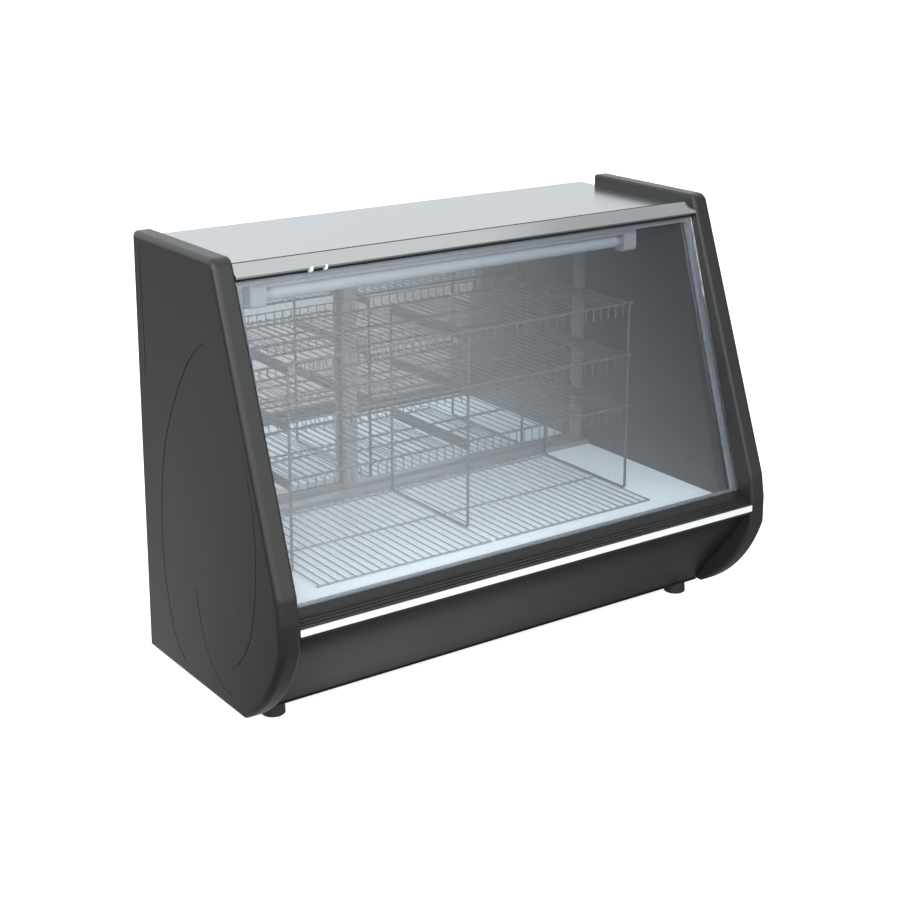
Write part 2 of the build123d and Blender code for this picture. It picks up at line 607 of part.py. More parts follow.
def fan():
    """Shroud against the condenser, a motor on a strut and a four-blade wheel."""
    cx, cz = FAN_AT
    front, back = CONDENSER_Y[0] - 2 - SHROUD_DEPTH, CONDENSER_Y[0] - 2
    hole = SPINDLE_RADIUS + RUNNING_FIT
    plate_x = (CONDENSER_X[0] + 8, CONDENSER_X[1] - 8)
    plate = box(plate_x, (back - 2, back), (BASE_Z + CHASSIS_SHEET, CONDENSER_Z[1]))
    plate -= Pos(cx, back - 1, cz) * across(FAN_DUCT_RADIUS, 8)
    duct = across(FAN_DUCT_RADIUS + 2, SHROUD_DEPTH) - across(FAN_DUCT_RADIUS, SHROUD_DEPTH + 2)
    strut = box((cx - 9, cx + 9), (front - 2, front), (cz - FAN_DUCT_RADIUS - 2, cz + FAN_DUCT_RADIUS + 2))
    shroud = merge([plate, Pos(cx, (front + back) / 2, cz) * duct, strut])
    save("fan_shroud", shroud - Pos(cx, front - 1, cz) * across(hole, 8))
    motor = Pos(cx, front - 2 - MOTOR_LENGTH / 2, cz) * across(MOTOR_RADIUS, MOTOR_LENGTH)
    motor = chamfer(motor.edges().group_by(Axis.Y)[0], 4.0)
    save("fan_motor", motor - Pos(cx, front - 12, cz) * across(hole, 24))
    hub_y = front + SHROUD_DEPTH / 2
    wheel = [Pos(cx, hub_y, cz) * across(FAN_HUB_RADIUS, 16)]
    wheel.append(Pos(cx, (hub_y + front - 20) / 2, cz) * across(SPINDLE_RADIUS, hub_y - front + 20))
    for i in range(4):
        span = FAN_RADIUS - FAN_HUB_RADIUS + 2
        blade = Pos(FAN_RADIUS - span / 2, 0, 0) * Rot(28, 0, 0) * Box(span, 1.6, 30)
        wheel.append(Pos(cx, hub_y, cz) * Rot(0, 90 * i, 0) * blade)
    save("fan_wheel", merge(wheel))


def evaporator():
    """Finned serpentine coil in the tub's well, under the deck."""
    z = (COIL_WELL_Z + DECK_Z - SHEET) / 2
    reach = COIL_WELL_X - 30
    points = []
    for i, y in enumerate(EVAPORATOR_Y):
        first, last = (reach, -reach) if i % 2 == 0 else (-reach, reach)
        points += [(first, y, z), (last, y, z)]
    coil = tube(points, COIL_TUBE, 14.0)
    fin_y = (EVAPORATOR_Y[0] - 16, EVAPORATOR_Y[-1] + 16)
    fin_z = (COIL_WELL_Z, DECK_Z - SHEET - 4)
    fins = [box((x - FIN_THICKNESS / 2, x + FIN_THICKNESS / 2), fin_y, fin_z)
            for x in fin_positions((-reach + 40, reach - 40), EVAPORATOR_PITCH)]
    save("evaporator_coil", merge([coil] + fins))


def pipes():
    """Discharge line to the condenser and suction line from the coil under the deck."""
    cx, cy = COMPRESSOR_AT
    left = cx - COMPRESSOR_SIZE[0] / 2
    right = cx + COMPRESSOR_SIZE[0] / 2
    start_x = CONDENSER_X[1] + COIL_REACH
    turn_x = start_x + 60
    row = condenser_rows()[-1]
    y = sum(CONDENSER_Y) / 2
    hot = [(start_x, y, row), (turn_x, y, row), (turn_x, cy, row), (turn_x, cy, PIPE_Z), (left, cy, PIPE_Z)]
    save("discharge_pipe", tube(hot, PIPE, 14.0))
    coil_z = (COIL_WELL_Z + DECK_Z - SHEET) / 2
    coil_y = EVAPORATOR_Y[-1]
    start_x = COIL_WELL_X - 30
    cold = [(start_x, coil_y, coil_z), (SUCTION_X, coil_y, coil_z), (SUCTION_X, coil_y, PIPE_Z),
            (SUCTION_X, cy, PIPE_Z), (right, cy, PIPE_Z)]
    save("suction_pipe", tube(cold, PIPE, 8.0))


def service_panel():
    """Louvred cover below the doors, set back so that its controls stay inside the case."""
    back = SERVICE_Y + SHEET
    panel = box((-FRAME_X, FRAME_X), (SERVICE_Y, back), (BASE_Z + CHASSIS_SHEET, LEDGE_BOTTOM_Z))
    for x in LOUVRE_X:
        for i in range(LOUVRE_COUNT):
            z = LOUVRE_Z + i * LOUVRE_PITCH
            slot_x = (x - LOUVRE_SLOT[0] / 2, x + LOUVRE_SLOT[0] / 2)
            slot_z = (z - LOUVRE_SLOT[1] / 2, z + LOUVRE_SLOT[1] / 2)
            panel -= box(slot_x, (SERVICE_Y - 1, back + 1), slot_z)
    half_x = CONTROL_SIZE[0] / 2 - CONTROL_LAP
    half_z = CONTROL_SIZE[1] / 2 - CONTROL_LAP
    panel -= box((CONTROL_AT[0] - half_x, CONTROL_AT[0] + half_x), (SERVICE_Y - 1, back + 1),
                 (CONTROL_AT[1] - half_z, CONTROL_AT[1] + half_z))
    for x, z in panel_screw_points() + plate_screw_points():
        panel -= Pos(x, SERVICE_Y, z) * across(SCREW_SHANK / 2, 10)
    save("service_panel", panel)


def panel_screw_points():
    low, high = BASE_Z + 14, LEDGE_BOTTOM_Z - 12
    return [(x, z) for x in (-FRAME_X + 14, -180.0, 180.0, FRAME_X - 14) for z in (low, high)]


def plate_screw_points():
    half_x = CONTROL_SIZE[0] / 2 - CONTROL_LAP / 2
    half_z = CONTROL_SIZE[1] / 2 - CONTROL_LAP / 2
    return [(CONTROL_AT[0] + sx * half_x, CONTROL_AT[1] + sz * half_z) for sx in (-1, 1) for sz in (-1, 1)]


def control_plate():
    y0 = SERVICE_Y + SHEET
    y1 = y0 + CONTROL_THICKNESS
    half_x, half_z = CONTROL_SIZE[0] / 2, CONTROL_SIZE[1] / 2
    plate = box((CONTROL_AT[0] - half_x, CONTROL_AT[0] + half_x), (y0, y1),
                (CONTROL_AT[1] - half_z, CONTROL_AT[1] + half_z))
    plate -= Pos(KNOB_AT[0], y0, KNOB_AT[1]) * across(SPINDLE_RADIUS + RUNNING_FIT, 10)
    body_x, body_z = switch_limits(SWITCH_WALL)
    plate -= box(body_x, (y0 - 1, y1 + 1), body_z)
    inlet_x, inlet_z = inlet_limits(0.0)
    plate -= box(inlet_x, (y0 - 1, y1 + 1), inlet_z)
    for x, z in plate_screw_points():
        plate -= Pos(x, y0, z) * across(SCREW_SHANK / 2, 12)
    save("control_plate", plate)


def switch_limits(grow):
    """Limits of the two rockers' openings taken together, grown on every side."""
    half_x, half_z = SWITCH_OPENING[0] / 2 + grow, SWITCH_OPENING[1] / 2 + grow
    return (SWITCH_X[0] - half_x, SWITCH_X[1] + half_x), (SWITCH_Z - half_z, SWITCH_Z + half_z)


def inlet_limits(grow):
    half_x, half_z = INLET_SIZE[0] / 2 + grow, INLET_SIZE[1] / 2 + grow
    return (INLET_AT[0] - half_x, INLET_AT[0] + half_x), (INLET_AT[1] - half_z, INLET_AT[1] + half_z)


def controls():
    """Thermostat with its knob, two rocker switches in one housing, and the lead's inlet."""
    face = SERVICE_Y + SHEET + CONTROL_THICKNESS
    back = SERVICE_Y + SHEET
    kx, kz = KNOB_AT
    spindle = SPINDLE_RADIUS + RUNNING_FIT
    body = box((kx - 22, kx + 22), (back - 26, back), (kz - 18, kz + 18))
    save("thermostat_body", body - Pos(kx, back - 8, kz) * across(spindle, 24))
    knob_y = face + KNOB_GAP
    knob = Pos(kx, knob_y + KNOB_LENGTH / 2, kz) * across(KNOB_RADIUS, KNOB_LENGTH)
    knob = chamfer(knob.edges().group_by(Axis.Y)[-1], 1.5)
    for i in range(KNOB_FLUTES):
        angle = radians(360 * (i + 0.5) / KNOB_FLUTES)
        flute_x = kx + (KNOB_RADIUS + 0.8) * cos(angle)
        flute_z = kz + (KNOB_RADIUS + 0.8) * sin(angle)
        knob -= Pos(flute_x, knob_y + KNOB_LENGTH / 2 + 4, flute_z) * across(2.0, KNOB_LENGTH)
    knob_face = knob_y + KNOB_LENGTH
    knob -= box((kx - 0.8, kx + 0.8), (knob_face - 1, knob_face + 1), (kz + 6, kz + KNOB_RADIUS))
    knob = knob.fuse(Pos(kx, knob_y - 7, kz) * across(SPINDLE_RADIUS, 16))
    save("thermostat_knob", knob)
    rim_x, rim_z = switch_limits(SWITCH_WALL + SWITCH_RIM)
    can_x, can_z = switch_limits(SWITCH_WALL)
    rim = box(rim_x, (face, face + SWITCH_RIM), rim_z)
    housing = merge([rim, box(can_x, (face - SWITCH_DEPTH, face), can_z)])
    for x in SWITCH_X:
        opening_x = (x - SWITCH_OPENING[0] / 2, x + SWITCH_OPENING[0] / 2)
        opening_z = (SWITCH_Z - SWITCH_OPENING[1] / 2, SWITCH_Z + SWITCH_OPENING[1] / 2)
        housing -= box(opening_x, (face - SWITCH_DEPTH + 2, face + 10), opening_z)
    pivot_y = face - PIVOT_DEPTH
    for x in SWITCH_X:
        pin = Pos(x, pivot_y, SWITCH_Z) * Rot(0, 90, 0) * Cylinder(PIVOT_RADIUS, SWITCH_OPENING[0])
        housing = housing.fuse(pin)
    save("switch_housing", housing)
    for name, x in zip(("power_rocker", "lamp_rocker"), SWITCH_X):
        half = SWITCH_OPENING[0] / 2 - ROCKER_CLEARANCE
        h = ROCKER_HALF
        outline = [(pivot_y - 4, SWITCH_Z - h + 4), (pivot_y + 8.5, SWITCH_Z - h), (pivot_y + 6.6, SWITCH_Z),
                   (pivot_y + 8.5, SWITCH_Z + h), (pivot_y - 4, SWITCH_Z + h - 4)]
        rocker = prism(outline, x - half, x + half)
        rocker -= Pos(x, pivot_y, SWITCH_Z) * Rot(0, 90, 0) * Cylinder(PIVOT_RADIUS + RUNNING_FIT, 40)
        tilted = Pos(0, pivot_y, SWITCH_Z) * Rot(-ROCKER_TILT, 0, 0) * Pos(0, -pivot_y, -SWITCH_Z) * rocker
        save(name, tilted)
    flange_x, flange_z = inlet_limits(SWITCH_RIM)
    tub_x, tub_z = inlet_limits(0.0)
    inlet = merge([box(flange_x, (face, face + SWITCH_RIM), flange_z), box(tub_x, (face - 20, face), tub_z)])
    well_x, well_z = inlet_limits(-2.0)
    inlet -= box(well_x, (face - 17, face + 5), well_z)
    pins = []
    for dx, dz in INLET_PINS:
        x, z = INLET_AT[0] + dx, INLET_AT[1] + dz
        pins.append(box((x - 1, x + 1), (face - 18, face - 4), (z - 2, z + 2)))
    save("power_inlet", merge([inlet] + pins))


def screw(x, y, z):
    """Pan-head screw driven towards -Y with its head's seat at y."""
    head = Pos(x, y + 1.2, z) * across(SCREW_HEAD / 2, 2.4)
    head = fillet(head.edges().group_by(Axis.Y)[-1], 1.0)
    for turn in (0, 90):
        head -= Pos(x, y + 2.2, z) * Rot(0, turn, 0) * Box(4.0, 1.2, 0.8)
    return head.fuse(Pos(x, y - 4, z) * across(SCREW_SHANK / 2, 8))


def screws():
    """Screws of the service cover and of its control plate, all of one size."""
    seat = SERVICE_Y + SHEET
    group = [screw(x, seat, z) for x, z in panel_screw_points()]
    group += [screw(x, seat + CONTROL_THICKNESS, z) for x, z in plate_screw_points()]
    save("service_screws", *group)


def feet():
    """Round rubber feet, waisted and hollow-centred for their bolts."""
    pads = []
    for x in (-FOOT_X, FOOT_X):
        for y in FOOT_Y:
            pad = Pos(x, y, FOOT_HEIGHT / 2) * Cone(FOOT_RADIUS, FOOT_RADIUS - 2, FOOT_HEIGHT)
            pad = fillet(pad.edges().group_by(Axis.Z)[0], 3.0)
            pads.append(pad - Pos(x, y, 5.0) * Cylinder(8.0, 10.0))
    save("feet", *pads)


end_panels()
inner_walls()
top_parts()
fascia()
glazing()
ledge()
skirt()
base()
deck_grid("deck_grid_left", GRID_LEFT_X)
deck_grid("deck_grid_right", GRID_RIGHT_X)
racks()
lamp()
door_tracks()
doors()
compressor()
condenser()
fan()
evaporator()
pipes()
service_panel()
control_plate()
controls()
screws()
feet()
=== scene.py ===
# %% [markdown]
# # A counter-top display fridge
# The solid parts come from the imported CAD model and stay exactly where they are. This file gives them
# their finishes, adds the small pieces that the solids leave out, and sets up a plain product studio.
# Lengths are metres. X runs along the counter, the customer stands at -Y, and Z is up.

# %% Load the frame
from math import cos, pi, radians, sin

import bmesh
import bpy
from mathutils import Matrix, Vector


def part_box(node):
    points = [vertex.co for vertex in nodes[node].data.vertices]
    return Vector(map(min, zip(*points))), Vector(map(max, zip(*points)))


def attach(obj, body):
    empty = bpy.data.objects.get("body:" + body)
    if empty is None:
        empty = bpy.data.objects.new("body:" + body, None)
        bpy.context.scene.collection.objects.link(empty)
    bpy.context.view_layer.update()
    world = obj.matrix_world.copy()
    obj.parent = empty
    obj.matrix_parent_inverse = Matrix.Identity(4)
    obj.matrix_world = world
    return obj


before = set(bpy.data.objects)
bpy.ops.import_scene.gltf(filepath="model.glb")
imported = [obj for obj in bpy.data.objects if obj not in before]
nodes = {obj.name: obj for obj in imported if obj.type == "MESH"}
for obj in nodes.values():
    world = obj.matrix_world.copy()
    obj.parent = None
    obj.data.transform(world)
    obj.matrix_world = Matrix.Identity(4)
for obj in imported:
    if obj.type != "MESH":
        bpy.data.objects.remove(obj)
scene = bpy.context.scene
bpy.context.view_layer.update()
MM = 0.001

# %% [markdown]
# ## The studio
# A product photographer lights a dark case from the front left and keeps the right side of the room dim. The front
# glass mirrors the room in front of it, so a bright left half and a dark right half put the soft veil on the left of
# the glass and leave the right of the case deep and clear. The top plate mirrors the wall behind the case, which is
# white. A sky made of a few smooth ramps over the ray's direction does this, and is easier to tune than many cards.
# Only rays that go straight to the camera see pure white.

# %% A sky of smooth ramps
# Strengths of the front and back walls at their left and right ends, and of the ceiling
FRONT_LEFT, FRONT_RIGHT = 2.0, 0.18
BACK_LEFT, BACK_RIGHT = 1.25, 0.88
CEILING = 0.75
ROOM_TINT = (0.92, 0.96, 1.0, 1.0)
WHITE = (1.0, 1.0, 1.0, 1.0)
world = bpy.data.worlds.new("studio_room")
scene.world = world
world.use_nodes = True
sky = world.node_tree
sky.nodes.clear()


def add(tree, kind, **settings):
    """Adds a node and sets its plain properties."""
    node = tree.nodes.new(kind)
    for key, value in settings.items():
        setattr(node, key, value)
    return node


def join(tree, source, target):
    """Links two sockets."""
    tree.links.new(source, target)


def sums(tree, operation, *terms):
    """Math node whose inputs are sockets or plain numbers."""
    node = add(tree, "ShaderNodeMath", operation=operation)
    for socket, term in zip(node.inputs, terms):
        if isinstance(term, (int, float)):
            socket.default_value = term
        else:
            join(tree, term, socket)
    return node.outputs[0]


def ramp(tree, value, start, end, at_start, at_end):
    """Smooth step from one value to another."""
    node = add(tree, "ShaderNodeMapRange", interpolation_type="SMOOTHSTEP")
    for label, number in zip(("From Min", "From Max", "To Min", "To Max"), (start, end, at_start, at_end)):
        node.inputs[label].default_value = number
    join(tree, value, node.inputs["Value"])
    return node.outputs["Result"]


def blend(tree, factor, low, high):
    """Number between two others."""
    node = add(tree, "ShaderNodeMix", data_type="FLOAT")
    for label, term in zip(("Factor", "A", "B"), (factor, low, high)):
        if isinstance(term, (int, float)):
            node.inputs[label].default_value = term
        else:
            join(tree, term, node.inputs[label])
    return node.outputs["Result"]


direction = add(sky, "ShaderNodeTexCoord")
split = add(sky, "ShaderNodeSeparateXYZ")
join(sky, direction.outputs["Generated"], split.inputs[0])
east, north, up = (split.outputs[axis] for axis in "XYZ")
across_glass = sums(sky, "ADD", east, sums(sky, "MULTIPLY", north, 0.78))
front_wall = ramp(sky, across_glass, -0.17, 0.16, FRONT_LEFT, FRONT_RIGHT)
back_wall = ramp(sky, east, -0.6, 0.9, BACK_LEFT, BACK_RIGHT)
walls = blend(sky, ramp(sky, north, -0.25, 0.05, 0.0, 1.0), front_wall, back_wall)
brightness = blend(sky, ramp(sky, up, 0.55, 0.80, 0.0, 1.0), walls, CEILING)
room_light = add(sky, "ShaderNodeBackground")
room_light.inputs["Color"].default_value = ROOM_TINT
join(sky, brightness, room_light.inputs["Strength"])
white_sheet = add(sky, "ShaderNodeBackground")
white_sheet.inputs["Color"].default_value = WHITE
white_sheet.inputs["Strength"].default_value = 1.0
ray = add(sky, "ShaderNodeLightPath")
choose = add(sky, "ShaderNodeMixShader")
join(sky, ray.outputs["Is Camera Ray"], choose.inputs[0])
join(sky, room_light.outputs[0], choose.inputs[1])
join(sky, white_sheet.outputs[0], choose.inputs[2])
sky_out = add(sky, "ShaderNodeOutputWorld")
join(sky, choose.outputs[0], sky_out.inputs["Surface"])
scene.view_settings.view_transform = "Standard"
print("world nodes", len(sky.nodes))

# %% [markdown]
# The camera was solved from the case's straight edges: it stands 3.5 m away at the left front corner, 1.5 m high,
# with a long lens, and looks down by 14 degrees. The small vertical shift keeps the case in the middle of the
# picture.

# %% Camera
CAMERA_PLACE = (-1.9868, -2.7949, 1.5434)
CAMERA_DOWN, CAMERA_TURN = 14.0, -35.1
SENSOR, LENS, SHIFT = 36.0, 69.35, -0.15
camera_data = bpy.data.cameras.new("product_camera")
camera_data.sensor_width = SENSOR
camera_data.lens = LENS
camera_data.shift_y = SHIFT
camera = bpy.data.objects.new("product_camera", camera_data)
camera.location = CAMERA_PLACE
camera.rotation_euler = (radians(90 - CAMERA_DOWN), 0.0, radians(CAMERA_TURN))
scene.collection.objects.link(camera)
scene.camera = camera
print("camera", camera.name, "lens", LENS)

# %% [markdown]
# Two large soft sheets light the case from the left and the front left, and a weak one hangs over it. The front one
# is kept out of glossy reflections, because it would show as a white patch in the front glass.

# %% Soft lights and the floor
CASE_MIDDLE = (0.0, 0.0, 0.4)
FLOOR_HALF = 60.0


def soft_light(name, place, size, power):
    """Square lamp at a place, turned towards the middle of the case."""
    data = bpy.data.lights.new(name, "AREA")
    data.shape = "SQUARE"
    data.size = size
    data.energy = power
    lamp = bpy.data.objects.new(name, data)
    lamp.location = place
    lamp.rotation_euler = (Vector(CASE_MIDDLE) - Vector(place)).to_track_quat("-Z", "Y").to_euler()
    scene.collection.objects.link(lamp)
    return lamp


soft_light("sheet_left", (-3.2, -0.8, 2.3), 2.2, 42.0)
front_sheet = soft_light("sheet_front_left", (-1.9, -3.2, 2.5), 2.0, 150.0)
front_sheet.visible_glossy = False
soft_light("sheet_above", (0.0, 0.0, 3.4), 4.0, 24.0)


def flat_floor(name, half):
    """Square sheet at the counter's height, given by half its side."""
    mesh = bpy.data.meshes.new(name)
    corners = [(-half, -half, 0.0), (half, -half, 0.0), (half, half, 0.0), (-half, half, 0.0)]
    mesh.from_pydata(corners, [], [(0, 1, 2, 3)])
    sheet = bpy.data.objects.new(name, mesh)
    scene.collection.objects.link(sheet)
    return sheet


floor = flat_floor("studio_floor", FLOOR_HALF)
print("lights", len(bpy.data.lights))

# %% [markdown]
# ## Shared surface effects
# Each effect that several finishes need is a shader node group that puts out plain colours, masks and heights.
# The shaders themselves stay in the materials, because the export reads them there.

# %% Group: cloudy variation for moulded and painted surfaces


def start_group(name, inputs, outputs):
    """Node group with float or colour sockets given as (name, default)."""
    group = bpy.data.node_groups.new(name, "ShaderNodeTree")
    for label, default in inputs:
        kind = "NodeSocketFloat" if isinstance(default, (int, float)) else "NodeSocketColor"
        socket = group.interface.new_socket(name=label, in_out="INPUT", socket_type=kind)
        socket.default_value = default if kind == "NodeSocketFloat" else (*default, 1.0)
    for label, kind in outputs:
        group.interface.new_socket(name=label, in_out="OUTPUT", socket_type=kind)
    return group, add(group, "NodeGroupInput"), add(group, "NodeGroupOutput")


COLOUR, NUMBER = "NodeSocketColor", "NodeSocketFloat"
GRAIN_SHARE = 0.35


def cloudy_group():
    group, given, result = start_group(
        "cloudy_variation",
        [("Dark", (0.1, 0.1, 0.1)), ("Light", (0.2, 0.2, 0.2)), ("Cloud Scale", 6.0), ("Grain Scale", 900.0),
         ("Rough Low", 0.35), ("Rough High", 0.5)],
        [("Colour", COLOUR), ("Roughness", NUMBER), ("Height", NUMBER)])
    place = add(group, "ShaderNodeTexCoord")
    cloud = add(group, "ShaderNodeTexNoise")
    cloud.inputs["Detail"].default_value = 4.0
    join(group, place.outputs["Object"], cloud.inputs["Vector"])
    join(group, given.outputs["Cloud Scale"], cloud.inputs["Scale"])
    grain = add(group, "ShaderNodeTexNoise")
    grain.inputs["Detail"].default_value = 2.0
    join(group, place.outputs["Object"], grain.inputs["Vector"])
    join(group, given.outputs["Grain Scale"], grain.inputs["Scale"])
    mottled = blend(group, GRAIN_SHARE, cloud.outputs["Fac"], grain.outputs["Fac"])
    tint = add(group, "ShaderNodeMix", data_type="RGBA")
    join(group, mottled, tint.inputs["Factor"])
    join(group, given.outputs["Dark"], tint.inputs["A"])
    join(group, given.outputs["Light"], tint.inputs["B"])
    gloss = add(group, "ShaderNodeMapRange", interpolation_type="SMOOTHSTEP")
    gloss.inputs["From Min"].default_value = 0.1
    gloss.inputs["From Max"].default_value = 0.9
    join(group, cloud.outputs["Fac"], gloss.inputs["Value"])
    join(group, given.outputs["Rough Low"], gloss.inputs["To Min"])
    join(group, given.outputs["Rough High"], gloss.inputs["To Max"])
    join(group, tint.outputs["Result"], result.inputs["Colour"])
    join(group, gloss.outputs["Result"], result.inputs["Roughness"])
    join(group, grain.outputs["Fac"], result.inputs["Height"])
    return group


CLOUDY = cloudy_group()

# %% Group: brushed lines along one axis


def brushed_group():
    group, given, result = start_group(
        "brushed_lines",
        [("Dark", (0.5, 0.5, 0.5)), ("Light", (0.7, 0.7, 0.7)), ("Along X", 3.0), ("Across Y", 500.0),
         ("Across Z", 500.0), ("Rough Low", 0.2), ("Rough High", 0.35)],
        [("Colour", COLOUR), ("Roughness", NUMBER), ("Height", NUMBER)])
    place = add(group, "ShaderNodeTexCoord")
    stretch = add(group, "ShaderNodeVectorMath", operation="MULTIPLY")
    gather = add(group, "ShaderNodeCombineXYZ")
    for axis, label in zip("XYZ", ("Along X", "Across Y", "Across Z")):
        join(group, given.outputs[label], gather.inputs[axis])
    join(group, place.outputs["Object"], stretch.inputs[0])
    join(group, gather.outputs[0], stretch.inputs[1])
    lines = add(group, "ShaderNodeTexNoise")
    lines.inputs["Scale"].default_value = 1.0
    lines.inputs["Detail"].default_value = 3.0
    join(group, stretch.outputs[0], lines.inputs["Vector"])
    tint = add(group, "ShaderNodeMix", data_type="RGBA")
    join(group, lines.outputs["Fac"], tint.inputs["Factor"])
    join(group, given.outputs["Dark"], tint.inputs["A"])
    join(group, given.outputs["Light"], tint.inputs["B"])
    gloss = add(group, "ShaderNodeMapRange")
    join(group, lines.outputs["Fac"], gloss.inputs["Value"])
    join(group, given.outputs["Rough Low"], gloss.inputs["To Min"])
    join(group, given.outputs["Rough High"], gloss.inputs["To Max"])
    join(group, tint.outputs["Result"], result.inputs["Colour"])
    join(group, gloss.outputs["Result"], result.inputs["Roughness"])
    join(group, lines.outputs["Fac"], result.inputs["Height"])
    return group


BRUSHED = brushed_group()

# %% Group: rubbed edges with a painted highlight, and settled dust


def wear_group():
    group, given, result = start_group(
        "edge_and_dust",
        [("Base", (0.2, 0.2, 0.2)), ("Edge", (0.4, 0.4, 0.4)), ("Dust", (0.5, 0.5, 0.48)), ("Edge Width", 0.004),
         ("Edge Amount", 0.5), ("Dust Amount", 0.1)],
        [("Colour", COLOUR), ("Edge Mask", NUMBER)])
    shape = add(group, "ShaderNodeNewGeometry")
    rounded = add(group, "ShaderNodeBevel", samples=6)
    join(group, given.outputs["Edge Width"], rounded.inputs["Radius"])
    agree = add(group, "ShaderNodeVectorMath", operation="DOT_PRODUCT")
    join(group, rounded.outputs["Normal"], agree.inputs[0])
    join(group, shape.outputs["Normal"], agree.inputs[1])
    turn = add(group, "ShaderNodeMapRange")
    turn.inputs["From Min"].default_value = 0.99
    turn.inputs["From Max"].default_value = 0.80
    join(group, agree.outputs["Value"], turn.inputs["Value"])
    place = add(group, "ShaderNodeTexCoord")
    patches = add(group, "ShaderNodeTexNoise")
    patches.inputs["Scale"].default_value = 35.0
    patches.inputs["Detail"].default_value = 5.0
    join(group, place.outputs["Object"], patches.inputs["Vector"])
    broken = add(group, "ShaderNodeMath", operation="MULTIPLY")
    join(group, turn.outputs["Result"], broken.inputs[0])
    join(group, patches.outputs["Fac"], broken.inputs[1])
    edge = add(group, "ShaderNodeMath", operation="MULTIPLY", use_clamp=True)
    join(group, broken.outputs[0], edge.inputs[0])
    join(group, given.outputs["Edge Amount"], edge.inputs[1])
    facing = add(group, "ShaderNodeSeparateXYZ")
    join(group, shape.outputs["Normal"], facing.inputs[0])
    upward = add(group, "ShaderNodeMapRange")
    upward.inputs["From Min"].default_value = 0.55
    upward.inputs["From Max"].default_value = 1.0
    join(group, facing.outputs["Z"], upward.inputs["Value"])
    settled = add(group, "ShaderNodeMath", operation="MULTIPLY")
    join(group, upward.outputs["Result"], settled.inputs[0])
    join(group, patches.outputs["Fac"], settled.inputs[1])
    dust = add(group, "ShaderNodeMath", operation="MULTIPLY", use_clamp=True)
    join(group, settled.outputs[0], dust.inputs[0])
    join(group, given.outputs["Dust Amount"], dust.inputs[1])
    # The Edge colour is partly wear and partly painted light: where it is lighter than the base, it is a painted edge
    # highlight.
    rubbed_and_highlit = add(group, "ShaderNodeMix", data_type="RGBA")
    join(group, edge.outputs[0], rubbed_and_highlit.inputs["Factor"])
    join(group, given.outputs["Base"], rubbed_and_highlit.inputs["A"])
    join(group, given.outputs["Edge"], rubbed_and_highlit.inputs["B"])
    dusty = add(group, "ShaderNodeMix", data_type="RGBA")
    join(group, dust.outputs[0], dusty.inputs["Factor"])
    join(group, rubbed_and_highlit.outputs["Result"], dusty.inputs["A"])
    join(group, given.outputs["Dust"], dusty.inputs["B"])
    join(group, dusty.outputs["Result"], result.inputs["Colour"])
    join(group, edge.outputs[0], result.inputs["Edge Mask"])
    return group


WEAR_AND_HIGHLIGHT = wear_group()
print("shared groups", [g.name for g in bpy.data.node_groups])

# %% [markdown]
# ## Finishes
# A finish is a Principled shader fed by the groups above. One maker function wires the usual chain: a colour and
# roughness pattern, then edge wear with a painted edge highlight and dust over it, and a faint bump.

# %% The maker of ordinary finishes


def new_finish(name):
    finish = bpy.data.materials.new(name)
    finish.use_nodes = True
    tree = finish.node_tree
    tree.nodes.clear()
    shader = add(tree, "ShaderNodeBsdfPrincipled")
    out = add(tree, "ShaderNodeOutputMaterial")
    join(tree, shader.outputs[0], out.inputs["Surface"])
    return finish, tree, shader, out


def use_group(tree, group, **values):
    """Places a node group and sets its inputs; spaces in socket names are written as underscores."""
    node = add(tree, "ShaderNodeGroup")
    node.node_tree = group
    for key, value in values.items():
        socket = node.inputs[key.replace("_", " ")]
        socket.default_value = value if isinstance(value, (int, float)) else (*value, 1.0)
    return node


def coated(name, group, pattern, edge=None, dust=0.0, edge_amount=0.0, edge_width=0.004, bump=0.05, depth=0.0002,
           metallic=0.0, coat=0.0, coat_rough=0.1, specular=0.5):
    """Finish whose colour and roughness come from a pattern group, with worn edges that carry a painted highlight, and
    a faint bump.
    """
    finish, tree, shader, _ = new_finish(name)
    look = use_group(tree, group, **pattern)
    colour = look.outputs["Colour"]
    if edge is not None or dust:
        # Edges: partly wear, partly a painted highlight where the Edge colour is lighter than the base.
        worn_and_highlit = use_group(tree, WEAR_AND_HIGHLIGHT, Edge=edge or (0.5, 0.5, 0.5), Dust_Amount=dust, Edge_Amount=edge_amount,
                         Edge_Width=edge_width)
        join(tree, colour, worn_and_highlit.inputs["Base"])
        colour = worn_and_highlit.outputs["Colour"]
    join(tree, colour, shader.inputs["Base Color"])
    join(tree, look.outputs["Roughness"], shader.inputs["Roughness"])
    relief = add(tree, "ShaderNodeBump")
    relief.inputs["Strength"].default_value = bump
    relief.inputs["Distance"].default_value = depth
    join(tree, look.outputs["Height"], relief.inputs["Height"])
    join(tree, relief.outputs["Normal"], shader.inputs["Normal"])
    shader.inputs["Metallic"].default_value = metallic
    shader.inputs["Coat Weight"].default_value = coat
    shader.inputs["Coat Roughness"].default_value = coat_rough
    shader.inputs["Specular IOR Level"].default_value = specular
    return finish


def cloudy(dark, light, low, high, cloud=6.0, grain=900.0):
    return dict(Dark=dark, Light=light, Rough_Low=low, Rough_High=high, Cloud_Scale=cloud, Grain_Scale=grain)


def brushed(dark, light, low, high, along=3.0, across_y=500.0, across_z=500.0):
    return dict(Dark=dark, Light=light, Rough_Low=low, Rough_High=high, Along_X=along, Across_Y=across_y,
                Across_Z=across_z)
